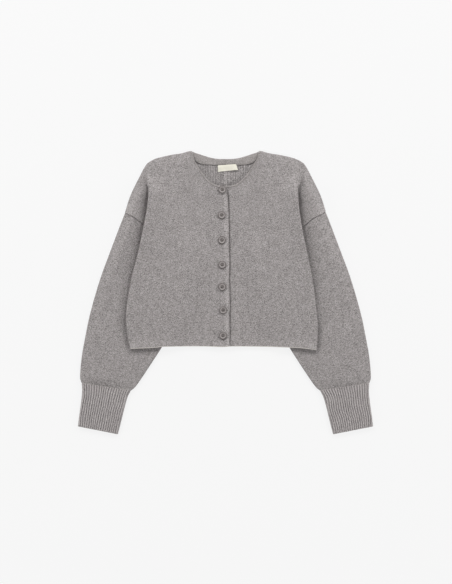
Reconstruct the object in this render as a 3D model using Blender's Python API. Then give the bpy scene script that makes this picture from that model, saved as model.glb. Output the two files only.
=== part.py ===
"""A cropped button cardigan in thick milled wool knit, buttoned up and laid flat on its back.

Frame: metres, +Z up. The cloth lies on z = 0, +Y runs from the hem to the neck, and the wearer's right is at -X.
The sleeves are drawn down along the body, so their inner halves lie under it. Above the underarm each front is
folded: it turns under at the body's edge and comes out again as the dropped shoulder, down to the armhole seam.

The tables are in millimetres. "out" is the distance outwards from the centre line on either side of the body, and
"y" is measured before the whole garment is centred by CENTRE_Y.
"""

import math
from collections import namedtuple

import bmesh
import bpy
from mathutils import Matrix, Vector
from mathutils.geometry import intersect_point_line

MM = 0.001
CENTRE_Y = -1.4  # y of the middle of the garment's box, which becomes the origin
RIGHT, LEFT = -1, 1  # the wearer's sides, as signs of x

# Cloth
WALL = 2.6  # milled knit, one layer
THIN = 0.55  # share of the wall left along a front's edges
SEAM_GAP = 0.3
LAYER_GAP = 0.5  # air between two panels that lie on each other
EDGE_RISE = 4.9  # top of the front where it meets the back at a folded edge
FLAT_RISE = 6.2  # top of two layers lying flat
EDGE_ROUND = 4.0  # width of the rounding at a folded edge
EDGE_CHAMFER = 1.5  # height of the same rounding on the underside
SHOULDER_PUFF = 1.6  # air that keeps the two layers of the dropped shoulder apart
PUFF_WIDTH = 70.0
FOLD_LIFT = 9.8  # height of the layers under the body where the front is folded
SLEEVE_LIFT = 8.6  # height of the sleeve under the body
DRAPE = 60.0  # width over which the body comes down from those layers to the surface

# The fold beside the body. Its y values run from the shoulder down to the armhole seam.
FOLD_TOP_Y = 298.0
FOLD_OPEN_Y = 285.0  # above this the front just slopes down to the shoulder
FOLD_SHUT_Y = 241.0  # below this it is doubled right under itself
FOLD_FULL_Y = 172.0
FOLD_DEPTH = 48.0  # how far the folded layers reach under the body, at the armhole seam
FOLD_SLOPE = 12.0  # width of the slope where the fold is open
FOLD_RISE_Y = (302.0, 250.0)  # the body rises over the folded layers between these
FOLD_END_Y = (70.0, 115.0)  # and over the sleeve it comes down again between these
FOLD_MARGIN = 8.0  # the body stays up this far inwards of the folded layers
ARMHOLE_TOP = (256.3, 200.2)
ARMHOLE_SLOPE = 0.572  # the seam falls this much for each millimetre inwards
UNDERARM_OUT = 80.0
CENTRE_ARM_Y = 80.0  # y on the centre line of the row of stitches that runs on from the underarm

# Front fastening
UNDERLAP = 27.0  # how far the left front reaches past the centre line, under the right one
OVERLAP_SLOPE = 17.0  # width over which the right front climbs on to the left one
BUTTON_D = 19.0
BUTTON_H = 2.8
BUTTON_LIFT = 0.5  # length of the thread under a button
BUTTON_SIDES = 16
RIM_W = 2.6
WELL = 0.9  # depth of the button's middle
HOLE_D = 2.2
HOLE_OFFSET = 1.9

# Side seams
SIDE_TURN = 2.2  # radius with which a front turns down over the body's edge
SIDE_TUCK = 0.5  # space between that turn and the back panel
FOLD_ROOM = 1.4  # the same, in addition, beside the fold
HEM_INSET = 0.8  # the back's hem lies this far above the front's
YOKE_ROOM = 24.0  # the back panel draws in by this much above the fold
YOKE_ROOM_Y = (226.0, 260.0)

# Neck
BINDING = 4.4  # rolled edge round the front neckline
BINDING_H = 2.8
BINDING_GAP = 0.6
BAND_H = 4.4  # the double band inside the back neck
BAND_END = 84.5
BAND_STEEP = (65.0, 75.0)  # between these the band's seam turns upwards to the shoulder
NECK_CORNER = 90.5  # the front's top edge is the neck seam up to here, and the shoulder after it
NECK_TOP_Y = 268.4  # lowest point of the neckline, where the front edges end
LABEL_W, LABEL_D, LABEL_H = 48.0, 17.0, 0.6
LABEL_AT = (6.0, 313.2)
LABEL_TURN = math.radians(3.0)
LABEL_CURL = 2.3  # how far its left-hand end lifts off the back

# Sleeves and cuffs
TUBE_EDGE = 3.0  # top of a tube's side
TUBE_ROUND = 5.0  # width of the rounding at a tube's sides
TUBE_CORNER = 3.6  # the same on the underside
TUBE_CHAMFER = 0.9
HOLLOW = 0.5  # least space between a tube's two layers
RIB_GAPS = 19  # between the ribs, across the side that shows
RIB_H = 1.2
CUFF_RISE = 6.8

Point = namedtuple("Point", "out y")
BodyEdge = namedtuple("BodyEdge", "y right left")
NeckRow = namedtuple("NeckRow", "out top seam")
HemRow = namedtuple("HemRow", "x y")
Ring = namedtuple("Ring", "outer inner puff")
FlapRow = namedtuple("FlapRow", "body_y edge_y")
BandRow = namedtuple("BandRow", "share low high")
Button = namedtuple("Button", "x y")

# The folded top edge, from the neck over the shoulder to the top of the armhole
SHOULDER = (
    Point(88.0, 359.6), Point(112.0, 352.6), Point(135.0, 349.2), Point(165.0, 342.6), Point(186.0, 336.2),
    Point(198.0, 328.0), Point(207.5, 314.0), Point(218.5, 293.0), Point(232.0, 266.5), Point(242.3, 243.5),
    Point(*ARMHOLE_TOP),
)  # fmt: skip
# The body's side edge: the fold of the front, and the side seam below the underarm
BODY_EDGE = (
    BodyEdge(-150.0, 242.5, 231.8), BodyEdge(-113.0, 249.0, 234.1), BodyEdge(-72.0, 252.9, 233.8),
    BodyEdge(-21.7, 248.9, 228.9), BodyEdge(39.5, 237.9, 221.0), BodyEdge(100.0, 222.6, 208.9),
    BodyEdge(162.0, 209.3, 196.3), BodyEdge(203.0, 201.1, 188.9), BodyEdge(243.5, 196.2, 184.8),
    BodyEdge(285.0, 195.4, 184.5), BodyEdge(304.0, 192.0, 183.0), BodyEdge(340.0, 180.0, 178.0),
)  # fmt: skip
NECKLINE = (
    Point(-30.0, 275.0), Point(-18.5, 270.2), Point(0.0, 268.4), Point(18.5, 270.2), Point(30.0, 275.0),
    Point(42.0, 283.6), Point(53.0, 295.3), Point(68.0, 317.0), Point(78.0, 334.5), Point(83.2, 350.0),
    Point(86.5, 360.0),
)  # fmt: skip
BACK_NECK = (
    NeckRow(0.0, 337.4, 323.0), NeckRow(18.0, 337.7, 323.0), NeckRow(37.0, 340.8, 323.9),
    NeckRow(55.0, 346.6, 325.4), NeckRow(68.0, 351.2, 328.4), NeckRow(78.0, 355.0, 336.0),
    NeckRow(BAND_END, 358.2, 354.8),
)  # fmt: skip
HEM = (
    HemRow(-243.0, -144.2), HemRow(-200.0, -142.4), HemRow(-175.0, -141.0), HemRow(-160.0, -138.9),
    HemRow(-60.0, -138.0), HemRow(-8.0, -139.6), HemRow(14.0, -138.2), HemRow(100.0, -138.9),
    HemRow(163.0, -140.8), HemRow(195.0, -142.8), HemRow(232.0, -147.4),
)  # fmt: skip
# Edge of the right front, which lies on top: it runs almost straight down, pulled a little at each buttonhole
FRONT_EDGE = (
    HemRow(10.4, -140.0), HemRow(10.4, -75.0), HemRow(10.8, -19.0), HemRow(9.4, 35.4), HemRow(9.8, 90.5),
    HemRow(8.5, 146.6), HemRow(8.1, 201.5), HemRow(4.9, 250.0), HemRow(3.2, 268.0),
)  # fmt: skip
# Rows of the folded shoulder: y at the body's edge, and y where the row reaches the folded top edge
FLAP_ROWS = (
    FlapRow(171.0, ARMHOLE_TOP[1]), FlapRow(226.0, 242.0), FlapRow(262.0, 271.0), FlapRow(300.0, 306.0),
    FlapRow(336.0, 329.0),
)  # fmt: skip
SLEEVE = (
    Ring(Point(256.55, 199.75), Point(80.3, 98.9), 1.0), Ring(Point(268.0, 171.2), Point(84.5, 66.0), 1.2),
    Ring(Point(283.2, 131.3), Point(92.0, 28.0), 1.3), Ring(Point(298.6, 90.5), Point(102.0, -6.0), 1.3),
    Ring(Point(313.8, 49.7), Point(114.0, -40.0), 1.3), Ring(Point(327.0, 8.9), Point(128.5, -75.0), 1.3),
    Ring(Point(338.8, -31.9), Point(144.5, -108.0), 1.3), Ring(Point(349.2, -72.7), Point(161.5, -139.5), 1.3),
    Ring(Point(357.2, -113.5), Point(180.0, -168.5), 1.4), Ring(Point(363.6, -147.0), Point(197.0, -194.5), 1.8),
    Ring(Point(367.6, -175.0), Point(212.0, -217.0), 2.2), Ring(Point(369.8, -199.0), Point(223.5, -233.5), 2.6),
    Ring(Point(370.4, -219.5), Point(231.5, -243.5), 2.4), Ring(Point(366.8, -231.6), Point(240.8, -250.6), 1.2),
)  # fmt: skip
CUFF = (
    Ring(Point(366.4, -232.4), Point(241.2, -251.3), 0.0), Ring(Point(365.4, -251.0), Point(249.0, -267.0), 0.0),
    Ring(Point(367.4, -275.0), Point(255.6, -289.0), 0.0), Ring(Point(370.2, -297.0), Point(261.3, -312.0), 0.0),
    Ring(Point(373.6, -320.0), Point(267.6, -337.5), 0.0), Ring(Point(376.0, -342.2), Point(274.1, -362.4), 0.0),
)  # fmt: skip
BUTTONS = (
    Button(-8.1, 260.6), Button(-9.7, 195.9), Button(-9.2, 132.2), Button(-8.2, 69.5), Button(-8.2, 13.2),
    Button(-5.9, -45.9), Button(-6.3, -110.6),
)  # fmt: skip

# The section of the neckband, from its seam up to the neck's edge
BAND = (
    BandRow(0.0, 0.0, 3.5), BandRow(0.1, 0.0, BAND_H), BandRow(0.5, 0.0, BAND_H + 0.2),
    BandRow(0.9, 0.4, BAND_H - 0.3), BandRow(1.0, 1.4, 2.9),
)  # fmt: skip

# Rows of the panels, as y at the body's edge, down to the armhole and from there to the hem
YOKE_ROWS = (334.0, 332.5, 329.0, 314.0, 296.0, 279.0, 264.0, 249.0, 234.0, 214.0, 193.0, 171.0)
SKIRT_ROWS = (135.0, 92.0, 48.0, 4.0, -40.0, -82.0, -118.0, -143.5, -147.6)
# Columns of a front, as distances out at the shoulder; the first is its own front edge
FRONT_COLUMNS = (
    -11.0, 2.0, 16.0, 26.0, 35.0, 44.0, 54.0, 64.0, 74.0, 82.0, 87.0, 91.0, 106.0, 122.0, 137.0, 150.0, 162.0,
    174.0,
)  # fmt: skip
NECK_COLUMNS = (0.0, 13.0, 26.0, 39.0, 52.0, 65.0, 73.0, 78.0, 81.5, BAND_END)
BACK_COLUMNS = (*NECK_COLUMNS, 88.0, 96.0, 110.0, 124.0, 136.0, 147.0, 157.0, 165.0, 170.0, 172.0)
BACK_CLOSING_Y = 244.0  # by this row the back panel has widened from the shoulder to the body's edge
# Columns of the dropped shoulder, as shares of the way to its folded edge
FLAP_COLUMNS = (0.35, 0.58, 0.76, 0.9, 0.965, 1.0)
DROP_COLUMNS = (0.0, 0.09, 0.3, 0.55, 0.75, 0.88, 0.96, 1.0)
DROP_ROOT = (150.0, 120.0)  # where the dropped shoulder joins the back panel, at the top and at the armhole
SLEEVE_COLUMNS = (0.0, 0.006, 0.02, 0.05, 0.12, 0.22, 0.35, 0.5, 0.65, 0.78, 0.88, 0.95, 0.98, 0.994, 1.0)


def ramp(t):
    """0 below 0, 1 above 1, and a smooth step between."""
    t = min(max(t, 0.0), 1.0)
    return t * t * (3 - 2 * t)


def mix(a, b, t):
    return a + (b - a) * t


def between(start, end, value):
    """0 at start, 1 at end, and a smooth step between; start may be the larger."""
    return ramp((value - start) / (end - start))


def smooth(xs, ys, x):
    """The height at x of a smooth curve through the points, whose xs rise; level beyond the ends."""
    if x <= xs[0]:
        return ys[0]
    if x >= xs[-1]:
        return ys[-1]
    i = max(k for k in range(len(xs) - 1) if xs[k] <= x)
    before, after = max(i - 1, 0), min(i + 2, len(xs) - 1)
    step = xs[i + 1] - xs[i]
    slope_a = (ys[i + 1] - ys[before]) / (xs[i + 1] - xs[before])
    slope_b = (ys[after] - ys[i]) / (xs[after] - xs[i])
    t = (x - xs[i]) / step
    near, far = (1 + 2 * t) * (1 - t) ** 2, t * t * (3 - 2 * t)
    return near * ys[i] + t * (1 - t) ** 2 * step * slope_a + far * ys[i + 1] - t * t * (1 - t) * step * slope_b


def column(table, name):
    return [getattr(row, name) for row in table]


def through(points, steps=6):
    """A dense list of points on a smooth curve through the given ones, spaced by distance along it."""
    along = [0.0]
    for a, b in zip(points, points[1:]):
        along.append(along[-1] + math.dist(a, b))
    at = [mix(along[i], along[i + 1], k / steps) for i in range(len(points) - 1) for k in range(steps)]
    at.append(along[-1])
    return [Point(smooth(along, column(points, "out"), t), smooth(along, column(points, "y"), t)) for t in at]


def offset(line, distance):
    """The line moved sideways, to its right when distance is positive."""
    moved = []
    for i, p in enumerate(line):
        a, b = line[max(i - 1, 0)], line[min(i + 1, len(line) - 1)]
        length = math.dist(a, b)
        moved.append(Point(p.out + (b.y - a.y) / length * distance, p.y - (b.out - a.out) / length * distance))
    return moved


def straight(xs, ys, x):
    """The height at x of straight runs between points whose xs rise."""
    for i in range(len(xs) - 1):
        if x <= xs[i + 1]:
            return mix(ys[i], ys[i + 1], max((x - xs[i]) / (xs[i + 1] - xs[i]), 0.0))
    return ys[-1]


SHOULDER_LINE = through(SHOULDER)
NECK_LINE = through(NECKLINE)
NECK_SEAM = offset(NECK_LINE, BINDING + BINDING_GAP)


def body_edge(side, y):
    """How far out the body's side edge shows at y."""
    return smooth(column(BODY_EDGE, "y"), column(BODY_EDGE, "right" if side == RIGHT else "left"), y)


def front_edge(side, y):
    """Where a front's own edge lies: past the centre line, so less than 0, under or over the other front."""
    return -smooth(column(FRONT_EDGE, "y"), column(FRONT_EDGE, "x"), y) if side == RIGHT else -UNDERLAP


def hem(x):
    return smooth(column(HEM, "x"), column(HEM, "y"), x)


def shoulder_y(out):
    line = [p for p in SHOULDER_LINE if p.y > ARMHOLE_TOP[1]]
    return straight(column(line, "out"), column(line, "y"), out)


def shoulder_out(y):
    line = SHOULDER_LINE[::-1]
    return straight(column(line, "y"), column(line, "out"), y)


def armhole_y(out):
    """The armhole seam, and inwards of the underarm the row of stitches that runs on across the body."""
    y = ARMHOLE_TOP[1] - ARMHOLE_SLOPE * (ARMHOLE_TOP[0] - max(out, UNDERARM_OUT))
    if out < UNDERARM_OUT:
        y = mix(CENTRE_ARM_Y, y, ramp(abs(out) / UNDERARM_OUT))
    return y


def from_line(line, out, y):
    """Distance from a point to a line of points."""
    at = Vector((out, y, 0))
    nearest = math.inf
    for a, b in zip(line, line[1:]):
        start, end = Vector((*a, 0)), Vector((*b, 0))
        foot, along = intersect_point_line(at, start, end)
        if along < 0:
            foot = start
        elif along > 1:
            foot = end
        nearest = min(nearest, (foot - at).length)
    return nearest


SLEEVE_OUTLINE = [r.outer for r in SLEEVE] + [r.inner for r in reversed(SLEEVE)]
SLEEVE_OUTLINE.append(SLEEVE_OUTLINE[0])


def inside(outline, out, y):
    found = False
    for a, b in zip(outline, outline[1:]):
        if (a.y > y) != (b.y > y) and out < a.out + (y - a.y) / (b.y - a.y) * (b.out - a.out):
            found = not found
    return found


def fold_depth(y):
    return FOLD_DEPTH * between(FOLD_TOP_Y, FOLD_FULL_Y, y)


def lift(side, out, y):
    """How high the body's back panel lies above the surface, over the sleeve and the folded layers."""
    if out < 0:
        side, out = -side, -out
    distance = from_line(SLEEVE_OUTLINE, out, y)
    if inside(SLEEVE_OUTLINE, out, y):
        distance = 0.0
    over_sleeve = SLEEVE_LIFT / FOLD_LIFT * ramp(1 - distance / DRAPE)
    strength = between(*FOLD_RISE_Y, y) * between(*FOLD_END_Y, y)
    under_fold = body_edge(side, y) - fold_depth(y) - FOLD_MARGIN - out
    over_fold = strength * ramp(1 - under_fold / DRAPE)
    return FOLD_LIFT * (1 - (1 - over_sleeve) * (1 - over_fold))


def rise(distance, puff):
    """Top of two layers, a distance in from the folded edge where they meet."""
    rounded = math.sqrt(1 - (1 - min(distance / EDGE_ROUND, 1.0)) ** 2)
    return mix(EDGE_RISE, FLAT_RISE, rounded) + puff * math.sin(math.pi / 2 * min(distance / PUFF_WIDTH, 1.0))


def placed(side, point):
    """A point given as (out, y, z) in millimetres, in the garment's own frame in metres."""
    return Vector((side * point[0], point[1] - CENTRE_Y, point[2])) * MM


def cloth_object(name, points, faces, material):
    mesh = bpy.data.meshes.new(name)
    mesh.from_pydata(points, [], faces)
    mesh.validate()
    mesh.materials.append(material)
    obj = bpy.data.objects.new(name, mesh)
    bpy.context.scene.collection.objects.link(obj)
    mesh.shade_smooth()
    return obj


def face_out(obj):
    """Turns every face of a closed mesh outwards."""
    sides = bmesh.new()
    sides.from_mesh(obj.data)
    bmesh.ops.recalc_face_normals(sides, faces=sides.faces)
    sides.to_mesh(obj.data)
    sides.free()


def give_wall(obj, shares):
    """Thickens a surface to the cloth's wall on both sides; shares thins it at the edges, point by point."""
    group = obj.vertex_groups.new(name="wall")
    for index, share in enumerate(shares):
        group.add([index], share, "REPLACE")
    wall = obj.modifiers.new("wall", "SOLIDIFY")
    wall.thickness = WALL * MM
    wall.offset = 0.0
    wall.vertex_group = group.name
    wall.thickness_vertex_group = 0.0


# The two fronts


def overlap(side, out):
    """How much the right front is raised where it rides on the left one."""
    if side == LEFT:
        return 0.0
    return (WALL + LAYER_GAP) * between(UNDERLAP + 1.0 + OVERLAP_SLOPE, UNDERLAP + 1.0, out)


def front_middle(side, out, y):
    """Height of the middle of a front's wall."""
    edge = from_line(SHOULDER_LINE, out, y)
    return lift(side, out, y) + rise(edge, 0.0) - WALL / 2 + overlap(side, out)


def arc(centre, radius, angles):
    turns = [math.radians(a) for a in angles]
    return [(centre[0] + radius * math.cos(t), centre[1] + radius * math.sin(t)) for t in turns]


def fold_section(side, y):
    """The front's path round the fold, as (out, z): over the body's edge, back under it and out again below."""
    edge = body_edge(side, y) - WALL / 2
    top = front_middle(side, edge - WALL, y)
    low = FLAT_RISE - WALL / 2
    wide, tight = (top - low) / 3, (top - low) / 6
    turn_over = arc((edge - wide, top - wide), wide, (90, 45, 0, -45, -90))
    inner = edge - fold_depth(y) + tight
    middle = [(mix(edge - wide, inner, t), top - 2 * wide) for t in (0.4, 0.8)]
    turn_back = arc((inner, low + tight), tight, (90, 150, 210, 270))
    folded = turn_over + middle + turn_back
    count = len(folded) - 1
    opened = [(edge - wide + FOLD_SLOPE * k / count, mix(top, low, ramp(k / count))) for k in range(count + 1)]
    shut = between(FOLD_OPEN_Y, FOLD_SHUT_Y, y)
    return [(mix(a[0], b[0], shut), mix(a[1], b[1], shut)) for a, b in zip(opened, folded)]


def side_section(side, y):
    """The front's path over the body's edge below the underarm, down to the side seam."""
    edge = body_edge(side, y) - WALL / 2
    top = front_middle(side, edge - SIDE_TURN, y)
    turn = arc((edge - SIDE_TURN, top - SIDE_TURN), SIDE_TURN, (90, 45, 0))
    return turn + [(edge - 0.2, top - SIDE_TURN - 1.0)]


def yoke_share(body_y):
    """How far down from the shoulder to the armhole a row is."""
    return min((YOKE_ROWS[0] - body_y) / (YOKE_ROWS[0] - YOKE_ROWS[-1]), 1.0)


def skirt_share(body_y):
    """How far down from the armhole to the hem a row is."""
    return max((YOKE_ROWS[-1] - body_y) / (YOKE_ROWS[-1] - SKIRT_ROWS[-1]), 0.0)


def flap_edge(body_y):
    """Where a row that leaves the body's edge at body_y reaches the folded top edge."""
    y = smooth(column(FLAP_ROWS, "body_y"), column(FLAP_ROWS, "edge_y"), body_y)
    return Point(shoulder_out(y), y)


def flap_points(side, body_y, start, slope):
    """One row of the dropped shoulder, from the end of the fold out to the folded edge, as (out, y, z, wall)."""
    end = flap_edge(body_y)
    row = []
    for share in FLAP_COLUMNS:
        out = mix(start[0], end.out, share)
        y = end.y + slope * (out - end.out)
        distance = from_line(SHOULDER_LINE, out, y)
        puff = SHOULDER_PUFF * ramp((out - body_edge(side, y) + 14.0) / 20.0)
        high = rise(distance, puff) - WALL / 2
        wall = mix(THIN - 0.15, 1.0, min(distance / WALL, 1.0))
        row.append((out, y, mix(start[1], high, ramp(share / FLAP_COLUMNS[0])), wall))
    return row


def front_row(side, body_y, shares):
    """One row of a front, from its own edge to the body's edge and round it, as (out, y, z, wall)."""
    in_yoke = body_y >= YOKE_ROWS[-1]
    at_end = body_y in (YOKE_ROWS[0], SKIRT_ROWS[-1])
    section = fold_section(side, body_y) if in_yoke else side_section(side, body_y)
    top_span = (front_edge(side, NECK_TOP_Y), fold_section(side, YOKE_ROWS[0])[0][0])
    arm_span = (front_edge(side, CENTRE_ARM_Y), fold_section(side, YOKE_ROWS[-1])[0][0])
    hem_span = (front_edge(side, SKIRT_ROWS[-1]), body_edge(side, SKIRT_ROWS[-1]))

    def column_y(share):
        top_out = mix(*top_span, share)
        if abs(top_out) < NECK_CORNER:
            top = straight(column(NECK_SEAM, "out"), column(NECK_SEAM, "y"), abs(top_out))
        else:
            top = shoulder_y(top_out)
        y = mix(top, armhole_y(mix(*arm_span, share)), yoke_share(body_y))
        return mix(y, hem(side * mix(*hem_span, share)), skirt_share(body_y))

    row = []
    for share in shares[:-1]:
        y = column_y(share)
        out = mix(front_edge(side, y), section[0][0], share)
        wall = THIN if at_end or share == 0 else 1.0
        row.append((out, y, front_middle(side, out, y), wall))
    corner_y = column_y(1.0)
    slope = 0.0
    if in_yoke:
        end = flap_edge(body_y)
        slope = (end.y - corner_y) / (end.out - section[0][0])
    for out, z in section:
        row.append((out, corner_y + slope * (out - section[0][0]), z, THIN if at_end else 1.0))
    if in_yoke:
        row += flap_points(side, body_y, section[-1], slope)
    return row


def front_panel(name, side, material):
    """One front: rows from the shoulder to the hem; those down to the armhole run on to the folded shoulder."""
    edge = front_edge(side, NECK_TOP_Y)
    last = fold_section(side, YOKE_ROWS[0])[0][0]
    tops = [edge, edge + 1.6, *(c for c in FRONT_COLUMNS if c > edge + 4.0), last]
    shares = [(c - edge) / (last - edge) for c in tops]
    rows = [front_row(side, body_y, shares) for body_y in YOKE_ROWS + SKIRT_ROWS]
    points, faces, starts = [], [], []
    for row in rows:
        starts.append(len(points))
        points += row
    for i in range(len(rows) - 1):
        for k in range(min(len(rows[i]), len(rows[i + 1])) - 1):
            a, b = starts[i] + k, starts[i + 1] + k
            faces.append([a, a + 1, b + 1, b])
    obj = cloth_object(name, [placed(side, p) for p in points], faces, material)
    give_wall(obj, [p[3] for p in points])


# The back


def wall_solid(name, rows, material):
    """A closed solid from rows of (x, y, low, high) in millimetres: a top, a bottom and a rim."""
    wide = len(rows[0])
    count = len(rows) * wide
    points = [placed(1, (x, y, low)) for row in rows for x, y, low, high in row]
    points += [placed(1, (x, y, high)) for row in rows for x, y, low, high in row]
    faces = []
    for i in range(len(rows) - 1):
        for j in range(wide - 1):
            a = i * wide + j
            faces.append([a, a + 1, a + 1 + wide, a + wide])
            faces.append([count + c for c in (a, a + wide, a + 1 + wide, a + 1)])
    rim = list(range(wide)) + [i * wide + wide - 1 for i in range(1, len(rows))]
    rim += [len(rows) * wide - 1 - k for k in range(1, wide)] + [i * wide for i in range(len(rows) - 2, 0, -1)]
    for a, b in zip(rim, rim[1:] + rim[:1]):
        faces.append([a, count + a, count + b, b])
    obj = cloth_object(name, points, faces, material)
    face_out(obj)
    return obj


def back_edge(side, y):
    """How far out the back panel reaches under the front's edge; it draws in at the shoulder, above the fold."""
    fold_room = FOLD_ROOM * between(130.0, 170.0, y) + YOKE_ROOM * between(*YOKE_ROOM_Y, y)
    return body_edge(side, y) - WALL - SIDE_TUCK - fold_room


def chamfer(out, y):
    """How much the underside rounds up towards the folded top edge."""
    return EDGE_CHAMFER * (1 - min(from_line(SHOULDER_LINE, out, y) / EDGE_ROUND, 1.0)) ** 2


def back_top(out):
    """The back panel's top: the seam of the neckband, and then the shoulder."""
    if out > BAND_END:
        return shoulder_y(out)
    gap = SEAM_GAP + 0.2 + between(*BAND_STEEP, out)
    return smooth(column(BACK_NECK, "out"), column(BACK_NECK, "seam"), out) - gap


def back_panel(name, material):
    """The back from neck to hem over the sleeves, joined to the two dropped shoulders that lie on the surface."""
    last = BACK_COLUMNS[-1]
    columns = [(RIGHT, c) for c in reversed(BACK_COLUMNS[1:])] + [(LEFT, c) for c in BACK_COLUMNS]
    rows = []
    for body_y in YOKE_ROWS + SKIRT_ROWS:
        row = []
        for side, top_out in columns:
            share = top_out / last
            low_out = share * back_edge(side, body_y)
            out = mix(top_out, low_out, between(YOKE_ROWS[0], BACK_CLOSING_Y, body_y))
            arm = armhole_y(share * back_edge(side, YOKE_ROWS[-1]))
            y = mix(back_top(top_out), arm, yoke_share(body_y))
            y = mix(y, hem(side * low_out) + HEM_INSET, skirt_share(body_y))
            raised = lift(side, out, y)
            row.append((side * out, y, raised + chamfer(out, y), raised + WALL))
        rows.append(row)
    panel = wall_solid(name, rows, material)
    for side in (RIGHT, LEFT):
        shoulder = dropped_shoulder(f"dropped_shoulder_{side}", side, material)
        shoulder.hide_render = True
        shoulder.display_type = "WIRE"
        join = panel.modifiers.new("join", "BOOLEAN")
        join.operation = "UNION"
        join.object = shoulder


def dropped_shoulder(name, side, material):
    """The back's shoulder beyond the body's edge, flat on the surface, from the top edge to the armhole seam."""
    rows = []
    for body_y in YOKE_ROWS:
        end = flap_edge(body_y)
        down = yoke_share(body_y)
        root_out = mix(*DROP_ROOT, down)
        root_y = mix(shoulder_y(root_out), armhole_y(root_out), down)
        row = []
        for share in DROP_COLUMNS:
            out, y = mix(root_out, end.out, share), mix(root_y, end.y, share)
            if down == 0:
                y = shoulder_y(out)
            tuck = SEAM_GAP if share == 0 else 0.0
            row.append((side * out, y, chamfer(out, y) + tuck, WALL - tuck))
        rows.append(row)
    return wall_solid(name, rows, material)


# Sleeves and cuffs


def tube_section(ring, across, top_rise, rib=0.0):
    """One ring of a flattened tube: points over its top and back along its underside, as (share, z) of the wall's
    outside and (share, z) of its inside. across holds shares of the ring's width; rib raises every other point."""
    width = math.dist(ring.outer, ring.inner)
    inset = (WALL + HOLLOW) / width
    section = []
    for k, share in enumerate(across):
        from_side = min(share, 1 - share) * width / TUBE_ROUND
        rounded = math.sqrt(1 - (1 - min(from_side, 1.0)) ** 2)
        top = mix(TUBE_EDGE, top_rise, rounded) + ring.puff * math.sin(math.pi * share)
        under = max(top - WALL - 0.1, WALL + HOLLOW)
        raised = rib if k % 2 and 0 < share < 1 else 0.0
        section.append((share, top + raised, mix(inset, 1 - inset, share), under))
    corner = TUBE_CORNER / width
    for share in (1 - corner / 3, 1 - corner, 0.75, 0.5, 0.25, corner, corner / 3):
        low = TUBE_CHAMFER if min(share, 1 - share) < corner else 0.0
        section.append((share, low, mix(inset, 1 - inset, share), WALL))
    return section


def tube(name, side, rings, sections, material):
    """A flattened tube of cloth through rings, open at both ends; each ring runs from its outer to its inner end."""
    points, faces = [], []
    for ring, section in zip(rings, sections):
        start, end = ring.outer, ring.inner
        for wall in (0, 2):
            for row in section:
                share, z = row[wall : wall + 2]
                out, y = mix(start.out, end.out, share), mix(start.y, end.y, share)
                points.append(placed(side, (out, y, z)))
    count = len(sections[0])
    for i in range(len(rings)):
        for k in range(count):
            nxt = (k + 1) % count
            a, b = 2 * i * count + k, 2 * i * count + nxt
            if i < len(rings) - 1:
                up = 2 * count
                faces.append([a, a + up, b + up, b])
                faces.append([a + count, b + count, b + count + up, a + count + up])
            if i in (0, len(rings) - 1):
                faces.append([a, b, b + count, a + count])
    face_out(cloth_object(name, points, faces, material))


def sleeve(name, side, material):
    sections = [tube_section(ring, SLEEVE_COLUMNS, FLAT_RISE) for ring in SLEEVE]
    tube(name, side, SLEEVE, sections, material)


def cuff(name, side, material):
    """A ribbed cuff: the ribs stand up from the outside of the wall, whose inside is plain."""
    steps = 2 * RIB_GAPS + 1
    across = [0.0, *((k + 0.5) / steps for k in range(steps)), 1.0]
    sections = [tube_section(ring, across, CUFF_RISE, RIB_H) for ring in CUFF]
    tube(name, side, CUFF, sections, material)


# Neck


def swept(name, line, section_at, material):
    """A strip with round edges along a line of (x, y), through a section of (across, z) at each point."""
    points, faces = [], []
    for i, here in enumerate(line):
        a, b = line[max(i - 1, 0)], line[min(i + 1, len(line) - 1)]
        along = Vector((b[0] - a[0], b[1] - a[1])).normalized()
        section = section_at(i)
        for across, z in section:
            x, y = here[0] + along.y * across, here[1] - along.x * across
            points.append(placed(1, (x, y, z)))
    count = len(section)
    for i in range(len(line) - 1):
        for k in range(count):
            nxt = (k + 1) % count
            faces.append([i * count + k, i * count + nxt, (i + 1) * count + nxt, (i + 1) * count + k])
    faces.append(list(range(count)))
    faces.append([len(line) * count - 1 - k for k in range(count)])
    face_out(cloth_object(name, points, faces, material))


def neck_binding(name, side, material):
    """The rolled edge of one front's neckline, from its front edge up to the shoulder."""
    start = front_edge(side, NECKLINE[2].y) + SEAM_GAP
    # every second point, counted from the shoulder, where the roll ends one point short of the line
    middle = [p for p in offset(NECK_LINE, BINDING / 2)[:-1] if p.out >= start][::-2][::-1]

    def section_at(i):
        centre = front_middle(side, middle[i].out, middle[i].y)
        return [
            (BINDING / 2 * math.cos(math.radians(a)), centre + BINDING_H / 2 * math.sin(math.radians(a)))
            for a in range(0, 360, 45)
        ]

    swept(name, [(side * p.out, p.y) for p in middle], section_at, material)


def neck_band(name, material):
    """The double band at the back neck, whose inside shows through the front neckline."""
    xs = [-x for x in NECK_COLUMNS[:0:-1]] + list(NECK_COLUMNS)
    tops = [smooth(column(BACK_NECK, "out"), column(BACK_NECK, "top"), abs(x)) for x in xs]
    seams = [smooth(column(BACK_NECK, "out"), column(BACK_NECK, "seam"), abs(x)) for x in xs]
    rows = []
    for band in BAND:
        ys = [mix(seam, top, band.share) for top, seam in zip(tops, seams)]
        rows.append([(x, y, band.low, band.high) for x, y in zip(xs, ys)])
    wall_solid(name, rows, material)


def neck_label(name, material):
    """A blank woven label on the inside of the back, sewn at the band's seam, its far end lifting."""
    steps = 8
    turn = Matrix.Rotation(LABEL_TURN, 2)
    rows = []
    for v in (-0.5, 0.5):
        row = []
        for u in (k / steps - 0.5 for k in range(steps + 1)):
            x, y = turn @ Vector((u * LABEL_W, v * LABEL_D)) + Vector(LABEL_AT)
            low = WALL + SEAM_GAP + LABEL_CURL * between(-0.1, 0.4, u)
            row.append((x, y, low, low + LABEL_H))
        rows.append(row)
    wall_solid(name, rows, material)


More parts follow.
